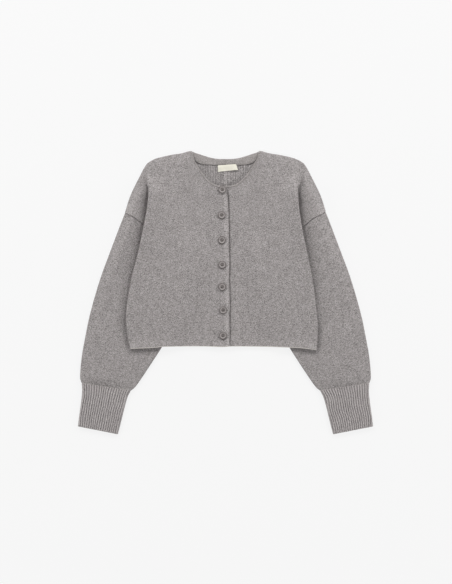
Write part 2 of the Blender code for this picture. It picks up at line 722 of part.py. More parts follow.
# Buttons


def linked(name, shape):
    """An object made from a bmesh, which it uses up."""
    mesh = bpy.data.meshes.new(name)
    shape.to_mesh(mesh)
    shape.free()
    obj = bpy.data.objects.new(name, mesh)
    bpy.context.scene.collection.objects.link(obj)
    return obj


def turned_button():
    """A round button standing on z = 0, with a rounded rim and a lower middle."""
    radius = BUTTON_D / 2
    profile = (
        (radius - 1.5, 0.0), (radius, BUTTON_H / 2), (radius - 0.8, BUTTON_H), (radius - RIM_W, BUTTON_H),
        (radius - RIM_W - 1.4, BUTTON_H - WELL),
    )  # fmt: skip
    shape = bmesh.new()
    edges = []
    for start, end in zip(profile, profile[1:]):
        corners = [shape.verts.new(Vector((r, 0, z)) * MM) for r, z in (start, end)]
        edges.append(shape.edges.new(corners))
    bmesh.ops.spin(shape, geom=edges, axis=(0, 0, 1), cent=(0, 0, 0), steps=BUTTON_SIDES, angle=math.tau)
    bmesh.ops.remove_doubles(shape, verts=shape.verts, dist=0.01 * MM)
    bmesh.ops.holes_fill(shape, edges=shape.edges)
    bmesh.ops.recalc_face_normals(shape, faces=shape.faces)
    return linked("button_blank", shape)


def thread_drills():
    shape = bmesh.new()
    for x in (-HOLE_OFFSET, HOLE_OFFSET):
        for y in (-HOLE_OFFSET, HOLE_OFFSET):
            bmesh.ops.create_cone(
                shape,
                cap_ends=True,
                segments=6,
                radius1=HOLE_D / 2 * MM,
                radius2=HOLE_D / 2 * MM,
                depth=4 * BUTTON_H * MM,
                matrix=Matrix.Translation(Vector((x, y, 0)) * MM),
            )
    return linked("thread_drills", shape)


def sew_buttons(material):
    blank, drills = turned_button(), thread_drills()
    cut = blank.modifiers.new("holes", "BOOLEAN")
    cut.operation = "DIFFERENCE"
    cut.object = drills
    graph = bpy.context.evaluated_depsgraph_get()
    mesh = bpy.data.meshes.new_from_object(blank.evaluated_get(graph))
    mesh.materials.clear()
    mesh.materials.append(material)
    bpy.data.objects.remove(blank)
    bpy.data.objects.remove(drills)
    for number, button in enumerate(BUTTONS, 1):
        z = front_middle(RIGHT, -button.x, button.y) + WALL / 2 + BUTTON_LIFT
        obj = bpy.data.objects.new(f"button_{number}", mesh)
        obj.location = placed(1, (button.x, button.y, z))
        bpy.context.scene.collection.objects.link(obj)


def finish(name, colour, roughness):
    """A plain material of one colour."""
    material = bpy.data.materials.new(name)
    material.use_nodes = True
    shader = material.node_tree.nodes["Principled BSDF"]
    shader.inputs["Base Color"].default_value = (*colour, 1.0)
    shader.inputs["Roughness"].default_value = roughness
    shader.inputs["Metallic"].default_value = 0.0
    return material


def main():
    for obj in list(bpy.data.objects):
        bpy.data.objects.remove(obj)
    wool = finish("grey_melange_wool", (0.31, 0.29, 0.285), 0.95)
    rib = finish("ribbed_wool", (0.29, 0.27, 0.265), 0.95)
    horn = finish("taupe_button", (0.23, 0.21, 0.2), 0.45)
    tape = finish("cream_label", (0.8, 0.78, 0.67), 0.8)
    back_panel("back", wool)
    front_panel("right_front", RIGHT, wool)
    front_panel("left_front", LEFT, wool)
    for word, side in (("right", RIGHT), ("left", LEFT)):
        sleeve(f"{word}_sleeve", side, wool)
        cuff(f"{word}_cuff", side, rib)
        neck_binding(f"{word}_neck_edge", side, wool)
    neck_band("back_neckband", wool)
    neck_label("neck_label", tape)
    sew_buttons(horn)


main()
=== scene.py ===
import math

import bmesh
import bpy
import numpy as np
from mathutils import Matrix, Vector, noise


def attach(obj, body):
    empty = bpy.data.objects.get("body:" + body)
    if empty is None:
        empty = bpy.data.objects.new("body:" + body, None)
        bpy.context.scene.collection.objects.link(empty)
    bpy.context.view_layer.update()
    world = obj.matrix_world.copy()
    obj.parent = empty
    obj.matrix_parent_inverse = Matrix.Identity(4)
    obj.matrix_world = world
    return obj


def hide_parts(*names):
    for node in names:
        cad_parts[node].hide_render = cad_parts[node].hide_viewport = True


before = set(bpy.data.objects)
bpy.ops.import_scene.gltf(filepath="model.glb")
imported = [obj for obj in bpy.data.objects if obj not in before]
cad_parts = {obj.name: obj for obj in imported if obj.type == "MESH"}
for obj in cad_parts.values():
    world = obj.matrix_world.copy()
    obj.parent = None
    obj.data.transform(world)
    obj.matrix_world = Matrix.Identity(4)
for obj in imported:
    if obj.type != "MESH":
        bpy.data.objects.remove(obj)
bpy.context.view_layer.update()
print("frame loaded:", len(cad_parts), "nodes")

# All lengths are millimetres until a mesh is made. "out" is the distance from the centre line on either side,
# and y is measured from a point 1.4 mm below the middle of the garment.
mm = 0.001
middleY = -1.4
right, left = -1, 1  # the wearer's sides, as signs of x
bothSides = {"right": right, "left": left}

# The lines of the laid-out garment
lines = {
    "shoulder": [(88.0, 359.6), (112.0, 352.6), (135.0, 349.2), (165.0, 342.6), (186.0, 336.2), (198.0, 328.0),
                 (207.5, 314.0), (218.5, 293.0), (232.0, 266.5), (242.3, 243.5), (256.3, 200.2)],
    # y, and how far out the body's edge is on the wearer's right and left
    "bodyEdge": [(-150.0, 242.5, 231.8), (-113.0, 249.0, 234.1), (-72.0, 252.9, 233.8), (-21.7, 248.9, 228.9),
                 (39.5, 237.9, 221.0), (100.0, 222.6, 208.9), (162.0, 209.3, 196.3), (203.0, 201.1, 188.9),
                 (243.5, 196.2, 184.8), (285.0, 195.4, 184.5), (304.0, 192.0, 183.0), (340.0, 180.0, 178.0)],
    "neckline": [(-30.0, 275.0), (-18.5, 270.2), (0.0, 268.4), (18.5, 270.2), (30.0, 275.0), (42.0, 283.6),
                 (53.0, 295.3), (68.0, 317.0), (78.0, 334.5), (83.2, 350.0), (86.5, 360.0)],
    # out, the back neck's edge, and the seam of its band
    "backNeck": [(0.0, 338.9, 323.0), (18.0, 339.2, 323.0), (37.0, 342.2, 323.9), (55.0, 347.5, 325.4),
                 (68.0, 351.8, 328.4), (78.0, 355.0, 336.0), (84.5, 358.2, 354.8)],
    "hem": [(-243.0, -144.2), (-200.0, -142.4), (-175.0, -141.0), (-160.0, -138.9), (-60.0, -138.0), (-8.0, -139.6),
            (14.0, -138.2), (100.0, -138.9), (163.0, -140.8), (195.0, -142.8), (232.0, -147.4)],
    # y, and x of the edge of the right front, pulled a little at each buttonhole
    "frontEdge": [(-140.0, 10.4), (-75.0, 10.4), (-19.0, 10.8), (35.4, 9.4), (90.5, 9.8), (146.6, 8.5),
                  (201.5, 8.1), (250.0, 4.9), (268.0, 3.2)],
    # y at the body's edge, and y where that row of stitches reaches the shoulder
    "flap": [(171.0, 200.2), (226.0, 242.0), (262.0, 271.0), (300.0, 306.0), (336.0, 329.0)],
    # the sleeve's rings: outer end, inner end, and how much the ring is puffed
    "sleeve": [(256.55, 199.75, 80.3, 98.9, 1.0), (268.0, 171.2, 84.5, 66.0, 1.2), (283.2, 131.3, 92.0, 28.0, 1.3),
               (298.6, 90.5, 102.0, -6.0, 1.3), (313.8, 49.7, 114.0, -40.0, 1.3), (327.0, 8.9, 128.5, -75.0, 1.3),
               (338.8, -31.9, 144.5, -108.0, 1.3), (349.2, -72.7, 161.5, -139.5, 1.3),
               (357.2, -113.5, 180.0, -168.5, 1.4), (363.6, -147.0, 197.0, -194.5, 1.8),
               (367.6, -175.0, 212.0, -217.0, 2.2), (369.8, -199.0, 223.5, -233.5, 2.6),
               (370.4, -219.5, 231.5, -243.5, 2.4), (366.8, -231.6, 240.8, -250.6, 1.2)],
    "cuff": [(366.4, -232.4, 241.2, -251.3, 0.0), (365.4, -251.0, 249.0, -267.0, 0.0),
             (367.4, -275.0, 255.6, -289.0, 0.0), (370.2, -297.0, 261.3, -312.0, 0.0),
             (373.6, -320.0, 267.6, -337.5, 0.0), (376.0, -342.2, 274.1, -362.4, 0.0)],
    # y, then width and height of the swell beside the body on the wearer's right, and the same on the left
    "crown": [(-300.0, 60.0, 2.0, 40.0, 1.5), (-150.0, 62.0, 5.0, 42.0, 3.0), (-46.0, 62.0, 7.0, 44.0, 4.0),
              (40.0, 56.0, 9.4, 46.0, 7.2), (118.0, 52.0, 11.8, 48.0, 11.2), (209.0, 43.0, 15.8, 42.0, 15.6),
              (246.0, 41.0, 15.2, 40.0, 15.0), (270.0, 34.0, 8.4, 32.0, 8.4), (310.0, 30.0, 0.0, 26.0, 0.0)],
    # y, and how much air lifts the body's edge on the wearer's right and left
    "loft": [(-148.0, 1.6, 1.6), (-60.0, 4.6, 2.6), (60.0, 5.6, 4.2), (150.0, 7.6, 7.0), (205.0, 8.6, 8.0),
             (240.0, 8.4, 7.8), (275.0, 2.8, 2.6), (305.0, 0.0, 0.0)],
    # out, and how far the armhole seam bows up from straight on the wearer's right and left
    "armholeBow": [(185.0, 0.0, 0.0), (198.0, -0.3, -0.4), (207.5, -0.7, 1.9), (215.5, 0.4, 4.7), (221.0, 1.4, 6.4),
                   (229.0, 3.1, 6.2), (236.0, 3.6, 5.6), (242.5, 3.5, 4.8), (250.0, 3.0, 4.7), (256.3, 1.6, 4.8)],
    "buttons": [(-8.1, 260.6), (-9.7, 195.9), (-9.2, 132.2), (-8.2, 69.5), (-8.2, 13.2), (-5.9, -45.9), (-6.3, -110.6)],
}

# The cloth, and how its layers lie on each other
cloth = {
    "wall": 2.6, "flat": 6.2, "edgeRound": 4.0, "edgeDrop": 1.9, "edgeWall": 0.72, "edgeWidth": 1.2,
    "foldLift": 9.8, "sleeveLift": 8.6, "drape": 60.0, "foldDepth": 48.0, "foldTop": 298.0, "foldFull": 172.0,
    "foldOpen": 285.0, "foldShut": 241.0, "foldSlope": 12.0, "foldMargin": 8.0, "foldTight": 0.5, "shoulderPuff": 1.6,
    "underlap": 27.0, "overlapSlope": 17.0, "overlapRise": 3.1, "loftWidth": 30.0,
    "topRow": 334.0, "neckTop": 268.4, "armRow": 171.0, "hemRow": -147.6, "edgeCurl": 1.2, "curlWidth": 8.0,
    "shoulderRise": 3.2, "riseWidth": 28.0, "crownSteep": 2.4, "besideRise": 2.0, "besideDitch": 0.1,
    "edgeWave": 0.45, "neckOut": 90.5, "seamInset": 22.0,
}  # fmt: skip


def ramp(t):
    t = np.clip(t, 0.0, 1.0)
    return t * t * (3 - 2 * t)


def mix(a, b, t):
    return a + (b - a) * t


def between(start, end, value):
    return ramp((value - start) / (end - start))


def curveAt(table, column, at):
    # a smooth curve through a table's rows, read by its first column
    table, at = np.asarray(table, float), np.asarray(at, float)
    xs, ys = table[:, 0], table[:, column]
    i = np.clip(np.searchsorted(xs, at, side="right") - 1, 0, len(xs) - 2)
    before, after = np.maximum(i - 1, 0), np.minimum(i + 2, len(xs) - 1)
    step = xs[i + 1] - xs[i]
    slopeA = (ys[i + 1] - ys[before]) / (xs[i + 1] - xs[before])
    slopeB = (ys[after] - ys[i]) / (xs[after] - xs[i])
    t = np.clip((at - xs[i]) / step, 0.0, 1.0)
    start = (1 + 2 * t) * (1 - t) ** 2 * ys[i] + t * (1 - t) ** 2 * step * slopeA
    return start + t * t * (3 - 2 * t) * ys[i + 1] - t * t * (1 - t) * step * slopeB


def travelled(points):
    # distance from the start along a line of points, or down each column of a grid
    steps = np.linalg.norm(np.diff(points, axis=0), axis=-1)
    return np.concatenate([np.zeros_like(steps[:1]), np.cumsum(steps, axis=0)])


def alongCurve(points, steps):
    # a smooth curve through points, with this many steps from each one to the next, in all its columns
    points = np.asarray(points, float)
    along = travelled(points[:, :2])
    table = np.column_stack([along, points])
    at = np.interp(np.arange((len(points) - 1) * steps + 1) / steps, np.arange(len(points)), along)
    return np.column_stack([curveAt(table, c + 1, at) for c in range(points.shape[1])])


def sidewaysOf(line):
    # the direction square to a line at each of its points
    ahead = np.vstack([line[1:], line[-1:]]) - np.vstack([line[:1], line[:-1]])
    ahead /= np.hypot(*ahead.T)[:, None]
    return np.column_stack([ahead[:, 1], -ahead[:, 0]])


def distanceTo(line, x, y):
    nearest = np.full(np.shape(x), 1e9)
    for (ax, ay), (bx, by) in zip(line, line[1:]):
        dx, dy = bx - ax, by - ay
        t = np.clip(((x - ax) * dx + (y - ay) * dy) / (dx * dx + dy * dy), 0, 1)
        nearest = np.minimum(nearest, np.hypot(x - ax - t * dx, y - ay - t * dy))
    return nearest


def isInside(line, x, y):
    found = np.zeros(np.shape(x), bool)
    for (ax, ay), (bx, by) in zip(line, line[1:]):
        if ay != by:
            found ^= ((ay > y) != (by > y)) & (x < ax + (y - ay) / (by - ay) * (bx - ax))
    return found


shoulderLine = alongCurve(lines["shoulder"], 6)
sleeveRings = np.array(lines["sleeve"])
sleeveOutline = np.vstack([sleeveRings[:, :2], sleeveRings[::-1, 2:4], sleeveRings[:1, :2]])


def necklineOf(side, away, steps):
    # the wearer's left front reaches a little further into the neck than the right one
    line = alongCurve(lines["neckline"], steps)
    drift = (1.6 if side == left else 0.0) * (1 - ramp((line[:, 1] - 318.0) / 30.0))
    line = line - drift[:, None] * sidewaysOf(line)
    return line + away * sidewaysOf(line)


neckSeams = {side: necklineOf(side, 5.0, 6) for side in bothSides.values()}


def ownCurve(name, side, at):
    # one of the lines whose second column is the wearer's right and the third the left
    return curveAt(lines[name], 1 if side == right else 2, at)


def bodyEdge(side, y):
    return ownCurve("bodyEdge", side, y)


def lapEdge(y):
    # how far the right front laps past the centre line; its knitted edge isn't quite straight
    y = np.asarray(y)
    return curveAt(lines["frontEdge"], 1, y) + cloth["edgeWave"] * np.sin(y / 8.5 + 1.4 * np.sin(y / 21.0))


def ownEdge(side, y):
    # where a front's own edge lies: past the centre line, so less than 0
    return -lapEdge(y) if side == right else np.full(np.shape(y), -cloth["underlap"])


def hemAt(x):
    return curveAt(lines["hem"], 1, x)


def shoulderY(out):
    return np.interp(out, shoulderLine[:, 0], shoulderLine[:, 1])


def armholeY(out):
    y = 200.2 - 0.572 * (256.3 - np.maximum(out, 80.0))
    return np.where(out < 80.0, mix(80.0, y, ramp(np.abs(out) / 80.0)), y)


def hump(t):
    # 1 at 0, and soft slopes down to 0 on both sides
    return np.exp(-(t**2))


def bowed(side, out, y):
    # the armhole seam isn't straight, and the cloth on both sides of it follows
    shift = ownCurve("armholeBow", side, out) * hump((y - armholeY(out)) / 30.0)
    return out - 0.323 * shift * between(236.0, 256.0, out), y + shift


def flapEdge(bodyY):
    y = curveAt(lines["flap"], 1, bodyY)
    return np.interp(-y, -shoulderLine[:, 1], shoulderLine[:, 0]), y


def foldDepth(y):
    return cloth["foldDepth"] * between(cloth["foldTop"], cloth["foldFull"], y)


def liftAt(side, out, y):
    # how high the body's back panel is over the sleeve and the folded layers
    edge = np.where(out < 0, bodyEdge(-side, y), bodyEdge(side, y))
    out = np.abs(out)
    away = np.where(isInside(sleeveOutline, out, y), 0.0, distanceTo(sleeveOutline, out, y))
    overSleeve = cloth["sleeveLift"] / cloth["foldLift"] * ramp(1 - away / cloth["drape"])
    strength = between(302.0, 250.0, y) * between(70.0, 115.0, y)
    underFold = edge - foldDepth(y) - cloth["foldMargin"] - out
    overFold = strength * ramp(1 - underFold / cloth["drape"])
    return cloth["foldLift"] * (1 - (1 - overSleeve) * (1 - overFold))


def edgeDrop(distance):
    # how far a layer's middle comes down to the folded edge that it shares with the layer below
    near = 1 - np.minimum(distance / cloth["edgeRound"], 1.0)
    return cloth["edgeDrop"] * (1 - np.sqrt(1 - near**2))


def lumps(x, y, size, seed):
    # soft unevenness from -1 to 1, about size mm across
    flatX, flatY = np.ravel(x) / size, np.ravel(y) / size
    values = [noise.fractal(Vector((a, b, seed)), 0.9, 2.1, 2) for a, b in zip(flatX, flatY)]
    return np.clip(np.reshape(values, np.shape(x)) * 1.3, -1, 1)


def creases(table, x, y):
    # soft ridges and troughs: from (x, y) to (x, y), width, height, and each fades out towards its ends
    total = np.zeros(np.shape(x))
    for ax, ay, bx, by, width, height in table:
        dx, dy = bx - ax, by - ay
        t = ((x - ax) * dx + (y - ay) * dy) / (dx * dx + dy * dy)
        across = np.abs((x - ax) * dy - (y - ay) * dx) / math.hypot(dx, dy)
        total += height * hump(across / width) * ramp(t / 0.35 + 0.5) * ramp((1 - t) / 0.35 + 0.5)
    return total


# The fronts' creases, seen in x: gentle, uneven, the longest down the left front
bodyCreases = [
    (103.0, 105.0, 96.0, -75.0, 13.0, -1.5), (132.0, 70.0, 118.0, -40.0, 15.0, 1.3),
    (78.0, 60.0, 72.0, -95.0, 17.0, 1.2), (-95.0, 20.0, -104.0, -70.0, 15.0, -0.9),
    (-128.0, 60.0, -140.0, -60.0, 18.0, 1.1), (-62.0, 80.0, -74.0, -60.0, 20.0, 0.9),
    (-150.0, -22.0, -196.0, -20.0, 4.5, -0.8), (-150.0, -31.0, -200.0, -30.0, 7.0, 0.7),
    (150.0, 205.0, 112.0, 130.0, 16.0, 1.1), (-152.0, 215.0, -118.0, 120.0, 17.0, 1.0),
    (60.0, 175.0, 74.0, 60.0, 15.0, 0.8), (-58.0, 214.0, -72.0, 110.0, 14.0, 0.7),
    (196.0, 20.0, 150.0, -60.0, 16.0, 0.9), (-215.0, -10.0, -168.0, -84.0, 15.0, 0.9),
    (120.0, 300.0, 90.0, 240.0, 14.0, 0.6),
]  # fmt: skip


def bodyRelief(x, y):
    # the centre, with its buttons, and the outer edges stay as the cloth's layers leave them
    calm = between(16.0, 52.0, np.abs(x)) * between(0.0, 34.0, 240.0 - np.abs(x)) * between(-146.0, -118.0, y)
    return calm * (creases(bodyCreases, x, y) + 0.75 * lumps(x, y, 95.0, 3.0) + 0.3 * lumps(x, y, 34.0, 8.0) + 0.5)


def frontMiddle(side, out, y):
    # height of the middle of a front's wall
    if side == right:
        # it climbs over the left front, and its edge curls up a little
        foot = cloth["underlap"] + 1
        overlap = cloth["overlapRise"] * between(foot + cloth["overlapSlope"], foot, out)
        overlap = overlap + cloth["edgeCurl"] * hump((out - ownEdge(side, y)) / cloth["curlWidth"])
    else:
        # the left front swells up beside that edge, with a narrow ditch between
        past = out - lapEdge(y)
        overlap = cloth["besideRise"] * hump((past - 10.0) / 15.0) * between(0.0, 4.0, past)
        overlap = overlap - cloth["besideDitch"] * hump((past - 0.8) / 1.7)
    fromShoulder = distanceTo(shoulderLine, out, y)
    level = cloth["flat"] - cloth["wall"] / 2 - edgeDrop(fromShoulder)
    # air inside the shoulders, which slope down to their folded edge
    near = 1 - np.minimum(fromShoulder / cloth["riseWidth"], 1.0)
    level = level + cloth["shoulderRise"] * between(205.0, 285.0, y) * (1 - near**2)
    loft = ownCurve("loft", side, y) * hump((bodyEdge(side, y) - out) / cloth["loftWidth"])
    relief = between(2.0, 22.0, fromShoulder) * bodyRelief(side * out, y)
    return liftAt(side, out, y) + level + overlap + loft + relief


def crown(side, out, y):
    # what lies beside the body swells up away from it, which leaves a soft valley along the body's edge
    away = out - bodyEdge(side, np.maximum(y, -150.0))
    wide, height = (curveAt(lines["crown"], column + (0 if side == right else 2), y) for column in (1, 2))
    share = np.clip(away / wide, 0, 1)
    return height * mix(ramp(share), 1 - (1 - share) ** cloth["crownSteep"], 0.55)


def arc(centre, radius, angles):
    turns = np.radians(angles)
    return np.column_stack([centre[0] + radius * np.cos(turns), centre[1] + radius * np.sin(turns)])


def foldSection(side, y, counts):
    # a front's path round the fold, as (out, z): over the body's edge, back under it, and out again below
    edge = bodyEdge(side, y) - cloth["wall"] / 2
    top = float(frontMiddle(side, edge - 3.3, y))
    low = cloth["flat"] - cloth["wall"] / 2
    wide, tight = (top - low) / 3, (top - low) / 6
    inner = edge - foldDepth(y) + tight
    over = arc((edge - wide, top - wide), wide, np.linspace(90, -90, counts[0]))
    over[:, 0] = edge - (edge - over[:, 0]) * cloth["foldTight"]
    share = np.linspace(0, 1, counts[1] + 2)[1:-1]
    flat = np.column_stack([mix(over[-1, 0], inner, share), np.full(counts[1], top - 2 * wide)])
    under = arc((inner, low + tight), tight, np.linspace(90, 270, counts[2]))
    folded = np.vstack([over, flat, under])
    k = np.linspace(0, 1, len(folded))
    opened = np.column_stack([over[0, 0] + cloth["foldSlope"] * k, mix(top, low, ramp(k))])
    return mix(opened, folded, between(cloth["foldOpen"], cloth["foldShut"], y))


def sideSection(side, y, count):
    # a front's path over the body's edge below the underarm, down to the side seam beside the back panel
    radius = 2.6
    edge = bodyEdge(side, y) - cloth["wall"] / 2
    top = float(frontMiddle(side, edge - radius, y))
    seam = float(liftAt(side, edge - radius, y)) + cloth["wall"] + 0.2
    turn = arc((edge - radius, 0.0), radius, np.linspace(90, 0, count - 1))
    turn[:, 1] = seam + turn[:, 1] / radius * (top - seam)
    return np.vstack([turn, (edge - 0.2, seam - 0.5)])


def spaced(start, end, step, fine=(0.0, 0.35, 0.9, 1.7, 2.8), both=True):
    # places from start to end: close together at the start, and at the end too, so that an edge can be round
    length = abs(end - start)
    last = length - (fine[-1] + step if both else 0)
    places = [*fine, *np.linspace(fine[-1] + step, last, max(int((length - 2 * fine[-1]) / step), 2))]
    if both:
        places += [length - f for f in reversed(fine)]
    return start + math.copysign(1, end - start) * np.array(places)


def placed(name, mesh):
    obj = bpy.data.objects.new(name, mesh)
    bpy.context.scene.collection.objects.link(obj)
    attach(obj, "root")
    return obj


def clothShell(name, points, uv, wall, finishes, used=None, closed=False, flip=False, raised=0.0, ribs=None):
    # a closed shell from a grid of points on the middle of the cloth: its face, its reverse and its cut edges
    rows, cols = points.shape[:2]
    flat = points.reshape(-1, 3)
    index = np.arange(rows * cols).reshape(rows, cols)
    if closed:  # the last column joins the first one
        index = np.column_stack([index, index[:, :1]])
    quads = np.stack([index[:-1, :-1], index[:-1, 1:], index[1:, 1:], index[1:, :-1]], -1)
    quads = quads.reshape(-1, 4) if used is None else quads[used]
    if flip:
        quads = quads[:, ::-1]
    across = np.cross(flat[quads[:, 2]] - flat[quads[:, 0]], flat[quads[:, 3]] - flat[quads[:, 1]])
    normals = np.zeros_like(flat)
    for corner in range(4):
        np.add.at(normals, quads[:, corner], across)
    normals /= np.maximum(np.linalg.norm(normals, axis=1, keepdims=True), 1e-9)
    half = wall.reshape(-1, 1) / 2
    face = flat + normals * (half + np.reshape(raised, (-1, 1)))
    edges = np.concatenate([quads[:, [k, (k + 1) % 4]] for k in range(4)])
    key = np.sort(edges, axis=1)
    _, first, count = np.unique(key[:, 0] * len(flat) + key[:, 1], return_index=True, return_counts=True)
    a, b = edges[first[count == 1]].T  # the edges of one face only are the rim
    total = len(flat)
    faces = np.concatenate([quads, quads[:, ::-1] + total, np.stack([b, a, a + total, b + total], -1)])
    kept, faces = np.unique(faces, return_inverse=True)
    faces = faces.reshape(-1, 4)
    corners = np.vstack([face, flat - normals * half])[kept]
    corners[:, 1] -= middleY
    mesh = bpy.data.meshes.new(name)
    mesh.vertices.add(len(corners))
    mesh.vertices.foreach_set("co", (corners * mm).astype(np.float32).ravel())
    mesh.loops.add(faces.size)
    mesh.loops.foreach_set("vertex_index", faces.ravel().astype(np.int32))
    mesh.polygons.add(len(faces))
    mesh.polygons.foreach_set("loop_start", np.arange(0, faces.size, 4, dtype=np.int32))
    for finish in finishes:
        mesh.materials.append(finish)
    side = np.zeros(len(faces), np.int32)
    side[len(quads):2 * len(quads)] = len(finishes) - 1
    mesh.polygons.foreach_set("material_index", side)
    mesh.update(calc_edges=True)
    mesh.validate()
    grain = np.vstack([uv.reshape(-1, 2)] * 2)[kept][faces.ravel()] * mm
    mesh.uv_layers.new(name="grain").data.foreach_set("uv", grain.astype(np.float32).ravel())
    # the ribs attribute scales the colour of finishes that read it: painted shade where it is low, painted light where
    # it is high
    if ribs is not None:
        shown = np.concatenate([ribs.ravel(), np.full(total, 0.8)])[kept]
        mesh.attributes.new("ribs", "FLOAT", "POINT").data.foreach_set("value", shown.astype(np.float32))
    mesh.shade_smooth()
    return placed(name, mesh)


def edgeWall(distance):
    # the cloth is drawn a little thinner where it is sewn to the next piece
    near = 1 - np.minimum(distance / cloth["edgeWidth"], 1.0)
    return cloth["wall"] * mix(cloth["edgeWall"], 1.0, np.sqrt(np.maximum(1 - near**2, 0.0)))


def setNode(tree, node, settings, links):
    # settings fill a node's own properties or its inputs, by name or number, and links feed its inputs
    for key, value in settings.items():
        if isinstance(key, str) and key not in node.inputs:
            setattr(node, key, value)
        else:
            node.inputs[key].default_value = value
    for key, source in links.items():
        other, output = source if isinstance(source, tuple) else (source, 0)
        tree.links.new(other.outputs[output], node.inputs[key])
    return node


def addNode(tree, kind, settings, links):
    # kind is the node's type without ShaderNode in front
    return setNode(tree, tree.nodes.new("ShaderNode" + kind), settings, links)


def linear(code):
    parts = [int(code[i:i + 2], 16) / 255 for i in (1, 3, 5)]
    return tuple(c / 12.92 if c <= 0.04045 else ((c + 0.055) / 1.055) ** 2.4 for c in parts) + (1.0,)


def newFinish(name, roughness, colour="#808080"):
    material = bpy.data.materials.new(name)
    material.use_nodes = True
    tree = material.node_tree
    shader = tree.nodes["Principled BSDF"]
    setNode(tree, shader, {"Base Color": linear(colour), "Roughness": roughness}, {})
    return material, tree, shader


def twoShades(dark, light):
    # the settings of a mix of two colours
    return {"data_type": "RGBA", 6: linear(dark), 7: linear(light)}


